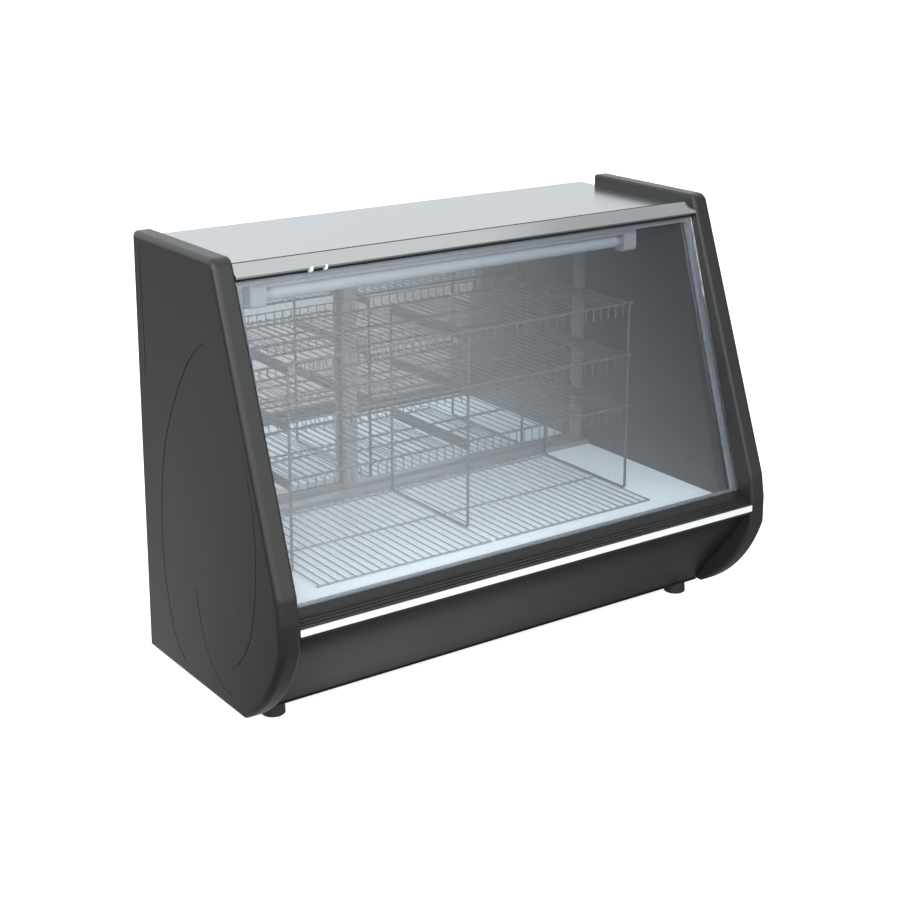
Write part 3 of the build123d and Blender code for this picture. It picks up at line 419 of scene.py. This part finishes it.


# %% [markdown]
# The end panels are moulded plastic with a satin face. Their rims get a lighter edge colour, partly wear and partly a
# painted highlight. A thin coat layer over the whole panel gives a second, sharper reflection.

# %% Plastics, paints and rubber
# Lighter Edge colours in this cell are partly wear and partly a painted highlight along rims and edges; the white
# moulding's and the bright trim's darker edges are wear.
panel_plastic = coated(
    "moulded_panel_plastic", CLOUDY, cloudy((0.014, 0.014, 0.013), (0.020, 0.020, 0.018), 0.30, 0.38, 5.0, 1400.0),
    edge=(0.05, 0.05, 0.048), edge_amount=0.4, edge_width=0.006, dust=0.02, bump=0.12, coat=0.05, coat_rough=0.12,
    specular=0.42)
skirt_paint = coated(
    "skirt_powder_coat", CLOUDY, cloudy((0.009, 0.009, 0.009), (0.013, 0.013, 0.013), 0.34, 0.42, 4.0, 1800.0),
    edge=(0.04, 0.04, 0.04), edge_amount=0.3, bump=0.18, specular=0.3)
liner_grey = coated(
    "inner_wall_laminate", CLOUDY, cloudy((0.024, 0.026, 0.026), (0.031, 0.033, 0.033), 0.29, 0.35, 5.0, 700.0),
    bump=0.04, coat=0.05, coat_rough=0.1)
black_moulding = coated(
    "black_moulding", CLOUDY, cloudy((0.010, 0.010, 0.010), (0.020, 0.020, 0.020), 0.30, 0.42, 9.0, 1200.0),
    edge=(0.05, 0.05, 0.05), edge_amount=0.3, edge_width=0.002, dust=0.03, bump=0.08, specular=0.35)
# This black is the sealant's and the glass bead's own colour, and it also paints the shadow line along the nosing's
# top edge.
sealant_and_shade_black = coated(
    "glass_sealant_black", CLOUDY, cloudy((0.006, 0.006, 0.006), (0.012, 0.012, 0.012), 0.45, 0.6, 20.0, 500.0),
    bump=0.1)
white_moulding = coated(
    "white_moulding", CLOUDY, cloudy((0.66, 0.67, 0.66), (0.74, 0.75, 0.74), 0.34, 0.45, 9.0, 900.0),
    edge=(0.5, 0.5, 0.48), edge_amount=0.3, edge_width=0.002, bump=0.05)
batten_enamel = coated(
    "batten_enamel", CLOUDY, cloudy((0.15, 0.165, 0.18), (0.19, 0.205, 0.22), 0.32, 0.42, 8.0, 900.0),
    edge=(0.5, 0.5, 0.5), edge_amount=0.2, edge_width=0.001, bump=0.04)
printed_white = coated("printed_white", CLOUDY, cloudy((0.62, 0.63, 0.62), (0.70, 0.71, 0.70), 0.4, 0.5, 40.0),
                       bump=0.02)
nylon = coated("natural_nylon", CLOUDY, cloudy((0.62, 0.61, 0.57), (0.70, 0.69, 0.65), 0.4, 0.5), bump=0.05)
foam = coated("rigid_foam", CLOUDY, cloudy((0.60, 0.54, 0.38), (0.72, 0.66, 0.48), 0.8, 0.95, 30.0, 300.0),
              bump=0.4, depth=0.0006)
foot_rubber = coated("foot_rubber", CLOUDY, cloudy((0.009, 0.009, 0.009), (0.018, 0.018, 0.018), 0.55, 0.7, 30.0),
                     edge=(0.06, 0.06, 0.06), edge_amount=0.5, edge_width=0.002, dust=0.15, bump=0.2)
rocker_gloss = coated("rocker_gloss", CLOUDY, cloudy((0.008, 0.008, 0.008), (0.012, 0.012, 0.012), 0.12, 0.18),
                      bump=0.0, coat=0.4, coat_rough=0.05)
enamel = coated("black_enamel", CLOUDY, cloudy((0.010, 0.010, 0.010), (0.018, 0.018, 0.018), 0.2, 0.3, 10.0),
                edge=(0.12, 0.11, 0.10), edge_amount=0.5, dust=0.3, bump=0.1, coat=0.3)
service_paint = coated("service_cover_paint", CLOUDY,
                       cloudy((0.085, 0.088, 0.088), (0.105, 0.108, 0.108), 0.38, 0.48, 5.0, 1600.0),
                       edge=(0.25, 0.25, 0.25), edge_amount=0.4, edge_width=0.0015, bump=0.2)
deck_coat = coated("deck_pale_coat", CLOUDY, cloudy((0.70, 0.77, 0.80), (0.76, 0.82, 0.84), 0.30, 0.40, 4.0, 800.0),
                   bump=0.04, coat=0.2, coat_rough=0.15)
wire_coat = coated("rack_wire_coat", CLOUDY, cloudy((0.032, 0.036, 0.039), (0.048, 0.052, 0.056), 0.38, 0.50, 60.0),
                   edge=(0.10, 0.10, 0.10), edge_amount=0.2, edge_width=0.001, bump=0.06)
grid_coat = coated("deck_grid_coat", CLOUDY, cloudy((0.115, 0.13, 0.14), (0.16, 0.175, 0.185), 0.3, 0.42, 60.0),
                   edge=(0.3, 0.3, 0.3), edge_amount=0.2, edge_width=0.001, bump=0.06)
bright_trim = coated("bright_trim_strip", CLOUDY, cloudy((0.76, 0.77, 0.77), (0.84, 0.85, 0.85), 0.17, 0.25, 12.0),
                     edge=(0.6, 0.6, 0.6), edge_amount=0.2, edge_width=0.001, bump=0.03, metallic=0.15, coat=0.3)
print("plastics and paints made")

# %% [markdown]
# Brushed stainless steel shows fine lines along the length of the sheet. Stretching a noise along X gives them, and
# the same lines move the roughness a little, so the reflection of the end panels breaks up across the grain.

# %% Metals
# The anodised finishes' lighter Edge colours are partly wear and partly a painted highlight along their edges.
stainless = coated("brushed_stainless", BRUSHED, brushed((0.56, 0.57, 0.57), (0.66, 0.67, 0.67), 0.15, 0.25, 4.0),
                   bump=0.05, depth=0.0001, metallic=1.0)
anodised = coated(
    "satin_anodised", BRUSHED, brushed((0.45, 0.455, 0.45), (0.52, 0.525, 0.52), 0.14, 0.22, 6.0, 900.0, 900.0),
    edge=(0.8, 0.8, 0.8), edge_amount=0.2, edge_width=0.001, bump=0.03, depth=0.0001, metallic=1.0)
door_anodised = coated("door_grey_anodised", BRUSHED,
                       brushed((0.19, 0.205, 0.215), (0.23, 0.245, 0.255), 0.3, 0.42, 8.0, 900.0, 30.0),
                       edge=(0.4, 0.4, 0.4), edge_amount=0.3, edge_width=0.001, bump=0.03, metallic=0.6)
spacer_bar = coated(
    "spacer_bar_metal", BRUSHED, brushed((0.16, 0.18, 0.21), (0.30, 0.33, 0.37), 0.3, 0.5, 90.0, 90.0, 90.0),
    bump=0.2, metallic=0.6)
galvanised = coated("galvanised_sheet", CLOUDY, cloudy((0.38, 0.39, 0.40), (0.52, 0.53, 0.54), 0.3, 0.55, 60.0, 200.0),
                    dust=0.3, bump=0.05, metallic=0.8)
fin_metal = coated("finned_metal", BRUSHED, brushed((0.45, 0.46, 0.46), (0.58, 0.59, 0.59), 0.3, 0.45, 20.0),
                   dust=0.5, bump=0.05, metallic=0.9)
copper = coated("drawn_copper", CLOUDY, cloudy((0.55, 0.25, 0.15), (0.70, 0.36, 0.22), 0.22, 0.42, 40.0, 300.0),
                bump=0.03, metallic=1.0)
zinc = coated("zinc_plated", CLOUDY, cloudy((0.55, 0.55, 0.53), (0.70, 0.70, 0.67), 0.2, 0.35, 60.0), bump=0.05,
              metallic=1.0)
print("metals made")

# %% [markdown]
# Window glass is nearly all reflection and transmission. A shadow or diffuse ray passes straight through instead, so
# that the lights reach the inside of the case without noise: Light Path picks a tinted Transparent shader for them.
# Float glass is perfectly smooth, so its roughness is nought all over. The mirror's film is smeared a little.

# %% Glass and mirror
GLASS_IOR = 1.46


def glass_finish(name, tint):
    finish, tree, shader, out = new_finish(name)
    shader.inputs["Base Color"].default_value = (*tint, 1.0)
    shader.inputs["Roughness"].default_value = 0.0
    shader.inputs["Transmission Weight"].default_value = 1.0
    shader.inputs["IOR"].default_value = GLASS_IOR
    through = add(tree, "ShaderNodeBsdfTransparent")
    through.inputs["Color"].default_value = (*tint, 1.0)
    rays = add(tree, "ShaderNodeLightPath")
    soft = add(tree, "ShaderNodeMath", operation="MAXIMUM")
    join(tree, rays.outputs["Is Shadow Ray"], soft.inputs[0])
    join(tree, rays.outputs["Is Diffuse Ray"], soft.inputs[1])
    pick = add(tree, "ShaderNodeMixShader")
    join(tree, soft.outputs[0], pick.inputs[0])
    join(tree, shader.outputs[0], pick.inputs[1])
    join(tree, through.outputs[0], pick.inputs[2])
    join(tree, pick.outputs[0], out.inputs["Surface"])
    return finish


pane_glass = glass_finish("display_glass", (0.975, 0.985, 0.992))


def mirror_finish():
    finish, tree, shader, _ = new_finish("door_mirror_silver")
    look = use_group(tree, CLOUDY, Dark=(0.60, 0.645, 0.665), Light=(0.64, 0.68, 0.70), Rough_Low=0.012,
                     Rough_High=0.035, Cloud_Scale=2.5, Grain_Scale=40.0)
    join(tree, look.outputs["Colour"], shader.inputs["Base Color"])
    join(tree, look.outputs["Roughness"], shader.inputs["Roughness"])
    shader.inputs["Metallic"].default_value = 1.0
    return finish


mirror_silver = mirror_finish()


def tube_finish():
    finish, tree, shader, _ = new_finish("opal_tube")
    look = use_group(tree, CLOUDY, Dark=(0.17, 0.19, 0.21), Light=(0.21, 0.23, 0.25), Rough_Low=0.2, Rough_High=0.22)
    join(tree, look.outputs["Colour"], shader.inputs["Base Color"])
    join(tree, look.outputs["Roughness"], shader.inputs["Roughness"])
    shader.inputs["Emission Color"].default_value = (0.92, 0.97, 1.0, 1.0)
    shader.inputs["Emission Strength"].default_value = 0.02
    return finish


opal_tube = tube_finish()
print("glass, mirror and tube made")

# %% [markdown]
# The studio floor is a sweep of white paper. Seen directly it burns out to white, with only a trace of shadow under
# the case, as in a cut-out product picture. The mirrored doors look down through the front glass at the paper on the
# right. Other rays see the paper glow with painted light that fades from left to right, a painted reflection of dim
# paper.

# %% Paper floor
# Strengths of the painted glow that reflections see at the paper's left, right and far left, and the glow that only
# the camera sees
PAPER_LEFT, PAPER_RIGHT, PAPER_FAR_LEFT = 0.62, 0.28, 0.06
PAPER_GLOW = 0.75
floor_white = bpy.data.materials.new("floor_paper")
floor_white.use_nodes = True
paper = floor_white.node_tree
paper.nodes.clear()
spot = add(paper, "ShaderNodeNewGeometry")
spot_split = add(paper, "ShaderNodeSeparateXYZ")
join(paper, spot.outputs["Position"], spot_split.inputs[0])
across_floor = sums(paper, "ADD", spot_split.outputs["X"], sums(paper, "MULTIPLY", spot_split.outputs["Y"], 0.62))
# Painted light: the glow that reflections see is set by where the paper lies, fading from left to right and dropping
# at the far left.
painted_glow = add(paper, "ShaderNodeEmission")
painted_fade = ramp(paper, across_floor, -0.5, 0.45, PAPER_LEFT, PAPER_RIGHT)
painted_far_left_drop = ramp(paper, across_floor, -0.95, -0.42, PAPER_FAR_LEFT / PAPER_LEFT, 1.0)
join(paper, sums(paper, "MULTIPLY", painted_fade, painted_far_left_drop), painted_glow.inputs["Strength"])
lit = add(paper, "ShaderNodeBsdfDiffuse")
lit.inputs["Color"].default_value = (0.8, 0.8, 0.8, 1.0)
glow = add(paper, "ShaderNodeEmission")
glow.inputs["Strength"].default_value = PAPER_GLOW
burnt = add(paper, "ShaderNodeAddShader")
join(paper, lit.outputs[0], burnt.inputs[0])
join(paper, glow.outputs[0], burnt.inputs[1])
paper_ray = add(paper, "ShaderNodeLightPath")
to_camera = add(paper, "ShaderNodeMixShader")
join(paper, paper_ray.outputs["Is Camera Ray"], to_camera.inputs[0])
join(paper, painted_glow.outputs[0], to_camera.inputs[1])
join(paper, burnt.outputs[0], to_camera.inputs[2])
paper_out = add(paper, "ShaderNodeOutputMaterial")
join(paper, to_camera.outputs[0], paper_out.inputs["Surface"])
floor.data.materials.append(floor_white)
print("finishes", len(bpy.data.materials))

# %% Finish of every CAD node
FINISH_OF = {
    panel_plastic: ["end_panel_left", "end_panel_right"],
    liner_grey: ["inner_wall_left", "inner_wall_right"],
    stainless: ["top_plate"],
    foam: ["top_insulation", "insulated_tub"],
    deck_coat: ["display_deck", "ceiling_sheet"],
    anodised: ["top_fascia"],
    bright_trim: ["trim_strip"],
    spacer_bar: ["glass_spacer"],
    pane_glass: ["front_glass_outer", "front_glass_inner"],
    sealant_and_shade_black: ["glass_sealant"],
    black_moulding: ["glass_ledge", "door_left_finger_pull", "door_right_finger_pull", "thermostat_body",
                     "thermostat_knob", "switch_housing", "power_inlet", "fan_wheel"],
    skirt_paint: ["front_skirt", "base_chassis"],
    galvanised: ["compressor_foot_plate", "fan_shroud"],
    grid_coat: ["deck_grid_left", "deck_grid_right"],
    wire_coat: ["rack_frame_left", "rack_frame_centre", "rack_frame_right",
                "wire_shelf_lower", "wire_shelf_middle", "wire_shelf_upper"],
    batten_enamel: ["lamp_batten", "lampholders"],
    opal_tube: ["lamp_tube"],
    door_anodised: ["rear_bottom_track", "rear_top_track", "rear_post_left", "rear_post_right", "door_left_frame",
                    "door_right_frame"],
    mirror_silver: ["door_left_mirror", "door_right_mirror"],
    nylon: ["door_left_glides", "door_right_glides"],
    enamel: ["compressor_shell", "fan_motor"],
    fin_metal: ["condenser_coil", "evaporator_coil"],
    copper: ["discharge_pipe", "suction_pipe"],
    service_paint: ["service_panel", "control_plate"],
    rocker_gloss: ["power_rocker", "lamp_rocker"],
    zinc: ["service_screws"],
    foot_rubber: ["feet"],
}


def dress(node, finish):
    """Puts a finish in every material slot of a CAD node."""
    mesh = nodes[node].data
    if not mesh.materials:
        mesh.materials.append(finish)
    for i in range(len(mesh.materials)):
        mesh.materials[i] = finish


for finish, members in FINISH_OF.items():
    for member in members:
        dress(member, finish)
undressed = sorted(set(nodes) - {m for group in FINISH_OF.values() for m in group})
print("CAD nodes without a finish:", undressed)

# %% [markdown]
# ## Small pieces
# Everything below is too small or too regular to be worth a solid of its own. Three Geometry Nodes trees do the
# regular work: one runs a round bead along edges, one repeats a shape in rows, and one sets a shape round a dial.
# A tree takes the object's own mesh as its shape, so the same tree serves several pieces with other sizes.

# %% Building blocks for the trees


def start_tree(name, inputs):
    """Geometry Nodes tree with a Geometry socket and named size sockets, each (name, socket type)."""
    tree = bpy.data.node_groups.new(name, "GeometryNodeTree")
    tree.interface.new_socket(name="Geometry", in_out="INPUT", socket_type="NodeSocketGeometry")
    for label, kind in inputs:
        tree.interface.new_socket(name=label, in_out="INPUT", socket_type=kind)
    tree.interface.new_socket(name="Geometry", in_out="OUTPUT", socket_type="NodeSocketGeometry")
    return tree, add(tree, "NodeGroupInput"), add(tree, "NodeGroupOutput")


def end_tree(tree, given, result, shape):
    """Every tree ends the same way: real geometry, then its material."""
    real = add(tree, "GeometryNodeRealizeInstances")
    painted = add(tree, "GeometryNodeSetMaterial")
    join(tree, shape, real.inputs[0])
    join(tree, real.outputs[0], painted.inputs["Geometry"])
    join(tree, given.outputs["Material"], painted.inputs["Material"])
    join(tree, painted.outputs[0], result.inputs["Geometry"])


def new_object(name, vertices, edges=(), faces=()):
    mesh = bpy.data.meshes.new(name)
    mesh.from_pydata([Vector(v) * MM for v in vertices], list(edges), list(faces))
    piece = bpy.data.objects.new(name, mesh)
    scene.collection.objects.link(piece)
    return piece


def settle(piece, body="case", smooth=False):
    """Closes the mesh, turns its faces outwards and lets it ride on its body."""
    shape = bmesh.new()
    shape.from_mesh(piece.data)
    bmesh.ops.remove_doubles(shape, verts=shape.verts, dist=1e-6)
    bmesh.ops.recalc_face_normals(shape, faces=shape.faces)
    for face in shape.faces:
        face.smooth = smooth
    shape.to_mesh(piece.data)
    shape.free()
    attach(piece, body)
    print(piece.name, "faces", len(piece.data.polygons))
    return piece


def grow(piece, tree, finish, body="case", smooth=False, **sizes):
    """Runs a tree on a piece with the given sizes and keeps the result as its plain mesh."""
    work = piece.modifiers.new(tree.name, "NODES")
    work.node_group = tree
    sizes["Material"] = finish
    for item in tree.interface.items_tree:
        key = item.name.replace(" ", "_")
        if item.in_out == "INPUT" and key in sizes:
            work[item.identifier] = sizes[key]
    bpy.context.view_layer.update()
    grown = bpy.data.meshes.new_from_object(piece.evaluated_get(bpy.context.evaluated_depsgraph_get()))
    piece.modifiers.remove(work)
    piece.data = grown
    return settle(piece, body, smooth)


FLOAT, WHOLE, VECTOR, STUFF = "NodeSocketFloat", "NodeSocketInt", "NodeSocketVector", "NodeSocketMaterial"

# %% Tree: a round bead along the object's own edges


def bead_tree():
    tree, given, result = start_tree("bead_along_edges", [("Radius", FLOAT), ("Sides", WHOLE), ("Material", STUFF)])
    line = add(tree, "GeometryNodeMeshToCurve")
    join(tree, given.outputs["Geometry"], line.inputs["Mesh"])
    section = add(tree, "GeometryNodeCurvePrimitiveCircle")
    join(tree, given.outputs["Radius"], section.inputs["Radius"])
    join(tree, given.outputs["Sides"], section.inputs["Resolution"])
    sweep = add(tree, "GeometryNodeCurveToMesh")
    sweep.inputs["Fill Caps"].default_value = True
    join(tree, line.outputs[0], sweep.inputs["Curve"])
    join(tree, section.outputs[0], sweep.inputs["Profile Curve"])
    end_tree(tree, given, result, sweep.outputs[0])
    return tree


BEAD = bead_tree()

# %% Tree: the object's own shape repeated in rows


def rows_tree():
    tree, given, result = start_tree("shape_in_rows", [
        ("First", VECTOR), ("Step", VECTOR), ("Count", WHOLE), ("Row Step", VECTOR), ("Rows", WHOLE),
        ("Material", STUFF)])
    line = add(tree, "GeometryNodeMeshLine", mode="OFFSET")
    join(tree, given.outputs["Count"], line.inputs["Count"])
    join(tree, given.outputs["First"], line.inputs["Start Location"])
    join(tree, given.outputs["Step"], line.inputs["Offset"])
    rows = add(tree, "GeometryNodeMeshLine", mode="OFFSET")
    join(tree, given.outputs["Rows"], rows.inputs["Count"])
    join(tree, given.outputs["Row Step"], rows.inputs["Offset"])
    lattice = add(tree, "GeometryNodeInstanceOnPoints")
    join(tree, rows.outputs[0], lattice.inputs["Points"])
    join(tree, line.outputs[0], lattice.inputs["Instance"])
    points = add(tree, "GeometryNodeRealizeInstances")
    join(tree, lattice.outputs[0], points.inputs[0])
    placed = add(tree, "GeometryNodeInstanceOnPoints")
    join(tree, points.outputs[0], placed.inputs["Points"])
    join(tree, given.outputs["Geometry"], placed.inputs["Instance"])
    end_tree(tree, given, result, placed.outputs[0])
    return tree


ROWS = rows_tree()

# %% Tree: the object's own shape set round a dial that faces the back


def dial_tree():
    tree, given, result = start_tree("shape_round_dial", [
        ("Centre", VECTOR), ("Radius", FLOAT), ("Count", WHOLE), ("Step Angle", FLOAT), ("Material", STUFF)])
    line = add(tree, "GeometryNodeMeshLine", mode="OFFSET")
    line.inputs["Offset"].default_value = (0.0, 0.0, 0.0)
    join(tree, given.outputs["Count"], line.inputs["Count"])
    index = add(tree, "GeometryNodeInputIndex")
    angle = sums(tree, "MULTIPLY", index.outputs[0], given.outputs["Step Angle"])
    radius = given.outputs["Radius"]
    turned = sums(tree, "MULTIPLY", angle, -1.0)
    reach = add(tree, "ShaderNodeCombineXYZ")
    join(tree, sums(tree, "MULTIPLY", sums(tree, "SINE", turned), radius), reach.inputs["X"])
    join(tree, sums(tree, "MULTIPLY", sums(tree, "COSINE", angle), radius), reach.inputs["Z"])
    spot = add(tree, "ShaderNodeVectorMath", operation="ADD")
    join(tree, reach.outputs[0], spot.inputs[0])
    join(tree, given.outputs["Centre"], spot.inputs[1])
    moved = add(tree, "GeometryNodeSetPosition")
    join(tree, line.outputs[0], moved.inputs["Geometry"])
    join(tree, spot.outputs[0], moved.inputs["Position"])
    twist = add(tree, "ShaderNodeCombineXYZ")
    join(tree, turned, twist.inputs["Y"])
    placed = add(tree, "GeometryNodeInstanceOnPoints")
    join(tree, moved.outputs[0], placed.inputs["Points"])
    join(tree, given.outputs["Geometry"], placed.inputs["Instance"])
    join(tree, twist.outputs[0], placed.inputs["Rotation"])
    end_tree(tree, given, result, placed.outputs[0])
    return tree


DIAL = dial_tree()
print("trees", [g.name for g in bpy.data.node_groups if g.bl_idname == "GeometryNodeTree"])


def block(x, y, z):
    """Vertices and faces of a box given as three ranges in mm."""
    corners = [(a, b, c) for a in x for b in y for c in z]
    return corners, [(0, 1, 3, 2), (4, 6, 7, 5), (0, 4, 5, 1), (2, 3, 7, 6), (0, 2, 6, 4), (1, 5, 7, 3)]


def prism(outline, x):
    """Vertices and faces of a (Y, Z) outline drawn out from one X to another, in mm."""
    count = len(outline)
    corners = [(end, y, z) for end in x for y, z in outline]
    sides = [(i, (i + 1) % count, count + (i + 1) % count, count + i) for i in range(count)]
    return corners, [tuple(range(count)), tuple(range(count, 2 * count)), *sides]


def gathered(*solids):
    """One list of vertices and one of faces from several solids."""
    corners, faces = [], []
    for some, more in solids:
        faces += [tuple(i + len(corners) for i in face) for face in more]
        corners += some
    return corners, faces


# %% [markdown]
# A black rubber bead closes the slit between the metal nosing and the glass. It is extruded rubber pushed into a
# groove, so a round bead along one straight edge is the right shape. The lamp's tube ends in two bright metal
# sleeves, which are short beads of a larger radius.

# %% Glass bead and tube sleeves
GLASS_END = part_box("front_glass_outer")[1][0] / MM
BEAD_Y, BEAD_Z, BEAD_RADIUS = -82.1, 847.1, 2.3
SLEEVE, SLEEVE_WALL, SLEEVE_INSET = 14.0, 0.3, 0.1


def line_along_glass(name, y, z):
    """Straight edge from one end of the front glass to the other."""
    return new_object(name, [(-GLASS_END, y, z), (GLASS_END, y, z)], [(0, 1)])


grow(line_along_glass("glass_top_bead", BEAD_Y, BEAD_Z), BEAD, sealant_and_shade_black, smooth=True, Radius=BEAD_RADIUS * MM,
     Sides=12)
tube_low, tube_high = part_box("lamp_tube")
tube_y, tube_z = (tube_low[1] + tube_high[1]) / 2 / MM, (tube_low[2] + tube_high[2]) / 2 / MM
ends = [tube_low[0] / MM + SLEEVE_INSET, tube_low[0] / MM + SLEEVE,
        tube_high[0] / MM - SLEEVE, tube_high[0] / MM - SLEEVE_INSET]
grow(new_object("tube_sleeves", [(x, tube_y, tube_z) for x in ends], [(0, 1), (2, 3)]), BEAD, door_anodised,
     smooth=True, Radius=(tube_high[2] - tube_low[2]) / 2 + SLEEVE_WALL * MM, Sides=40)

# %% [markdown]
# Each slot of the service cover has a small pressed hood that keeps drips out. In the press the sheet is cut along
# the slot and pushed out, which leaves a sloping flap closed by two cheeks.

# %% Louvre hoods
COVER_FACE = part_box("service_panel")[1][1] / MM
HOOD_X = (-84.0, 84.0)
CHEEK = 0.9
GROUP_X = {"left": -330.0, "centre": -90.0, "right": 110.0}
LOWEST_SLOT, SLOT_PITCH, SLOTS = 62.0, 16.0, 9
flap = prism([(0.0, 5.2), (0.9, 5.2), (4.4, -1.6), (3.6, -2.2), (0.0, 4.2)], HOOD_X)
cheek = [(0.0, 4.6), (4.0, -1.9), (0.0, -2.6)]
cheeks = [prism(cheek, (x, x + CHEEK)) for x in (HOOD_X[0], HOOD_X[1] - CHEEK)]
for side, x in GROUP_X.items():
    corners, faces = gathered(flap, *cheeks)
    hoods = new_object("louvre_hoods_" + side, corners, faces=faces)
    grow(hoods, ROWS, service_paint, First=(x * MM, COVER_FACE * MM, LOWEST_SLOT * MM),
         Step=(0.0, 0.0, SLOT_PITCH * MM), Count=SLOTS, Row_Step=(0.0, 0.0, 0.0), Rows=1)

# %% [markdown]
# The thermostat's scale is screen printed round the knob: seven strokes with plain numbers from 0 to 6. The strokes
# are one thin block set round the dial, and the numbers are text turned to face the back and made a mesh.

# %% Thermostat scale
PLATE_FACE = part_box("control_plate")[1][1] / MM
KNOB_CENTRE = (345.0, 128.0)
INK = 0.12
MARKS, MARK_STEP = 7, pi / 4
STROKE_RADIUS, NUMBER_RADIUS, NUMBER_HEIGHT = 23.2, 29.0, 6.5
stroke_corners, stroke_faces = block((-0.45, 0.45), (0.0, INK), (-1.8, 1.8))
grow(new_object("thermostat_scale", stroke_corners, faces=stroke_faces), DIAL, printed_white,
     Centre=(KNOB_CENTRE[0] * MM, PLATE_FACE * MM, KNOB_CENTRE[1] * MM), Radius=STROKE_RADIUS * MM, Count=MARKS,
     Step_Angle=MARK_STEP)


def rear_text(name, words, x, z, height, finish):
    """Printed characters on the control plate, read from behind the case."""
    data = bpy.data.curves.new(name, "FONT")
    data.body = words
    data.size = height
    data.align_x = data.align_y = "CENTER"
    data.extrude = INK / 2
    data.resolution_u = 3
    maker = bpy.data.objects.new(name + "_curve", data)
    scene.collection.objects.link(maker)
    bpy.context.view_layer.update()
    mesh = bpy.data.meshes.new_from_object(maker.evaluated_get(bpy.context.evaluated_depsgraph_get()))
    bpy.data.objects.remove(maker)
    for vertex in mesh.vertices:
        across_x, high_z, out_y = vertex.co
        vertex.co = Vector((x - across_x, PLATE_FACE + INK / 2 + out_y, z + high_z)) * MM
    mesh.materials.clear()
    mesh.materials.append(finish)
    piece = bpy.data.objects.new(name, mesh)
    scene.collection.objects.link(piece)
    return settle(piece)


for number in range(MARKS):
    angle = number * MARK_STEP
    rear_text(f"scale_number_{number}", str(number), KNOB_CENTRE[0] - NUMBER_RADIUS * sin(angle),
              KNOB_CENTRE[1] + NUMBER_RADIUS * cos(angle), NUMBER_HEIGHT, printed_white)

# %% [markdown]
# The knob's pointer is a groove filled with white paint, which turns with the knob.

# %% Knob pointer
POINTER_HALF = 0.65
POINTER_INNER, POINTER_OUTER = 6.2, 17.2
POINTER_DEEP, POINTER_SHY = 0.95, 0.15
knob_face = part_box("thermostat_knob")[1][1] / MM
corners, faces = block((KNOB_CENTRE[0] - POINTER_HALF, KNOB_CENTRE[0] + POINTER_HALF),
                       (knob_face - POINTER_DEEP, knob_face - POINTER_SHY),
                       (KNOB_CENTRE[1] + POINTER_INNER, KNOB_CENTRE[1] + POINTER_OUTER))
pointer = new_object("knob_pointer", corners, faces=faces)
pointer.data.materials.append(printed_white)
settle(pointer, "knob")

# %% [markdown]
# Two little moulded clips hook under the nosing's lower edge near its left end. Each has a rounded body, so it is a
# short prism with softened corners. A thin black bead along the nosing's top edge is a painted shadow line for the
# shade in the gap between the nosing and the top plate.

# %% Nosing clips and painted shadow line
CLIPS_X = ((-405.0, -398.0), (-372.0, -367.0))
CLIP_ROUND = 0.7
SHADE_LINE_Y, SHADE_LINE_Z, SHADE_LINE_RADIUS = -64.6, 875.7, 1.2
clip_outline = [(-98.0, 857.5), (-96.0, 857.5), (-94.4, 852.0), (-86.0, 849.4), (-86.0, 846.8), (-93.0, 845.6),
                (-97.2, 849.0)]
corners, faces = gathered(*(prism(clip_outline, x) for x in CLIPS_X))
clip = new_object("nosing_clips", corners, faces=faces)
clip.data.materials.append(white_moulding)
settle(clip)
soften = clip.modifiers.new("soft corners", "BEVEL")
soften.width = CLIP_ROUND * MM
soften.segments = 2
soften.limit_method = "ANGLE"
# Painted shadow line: a black bead where there is only the shade of the gap between the nosing and the top plate.
grow(line_along_glass("nosing_seam", SHADE_LINE_Y, SHADE_LINE_Z), BEAD, sealant_and_shade_black, smooth=True, Radius=SHADE_LINE_RADIUS * MM,
     Sides=10)
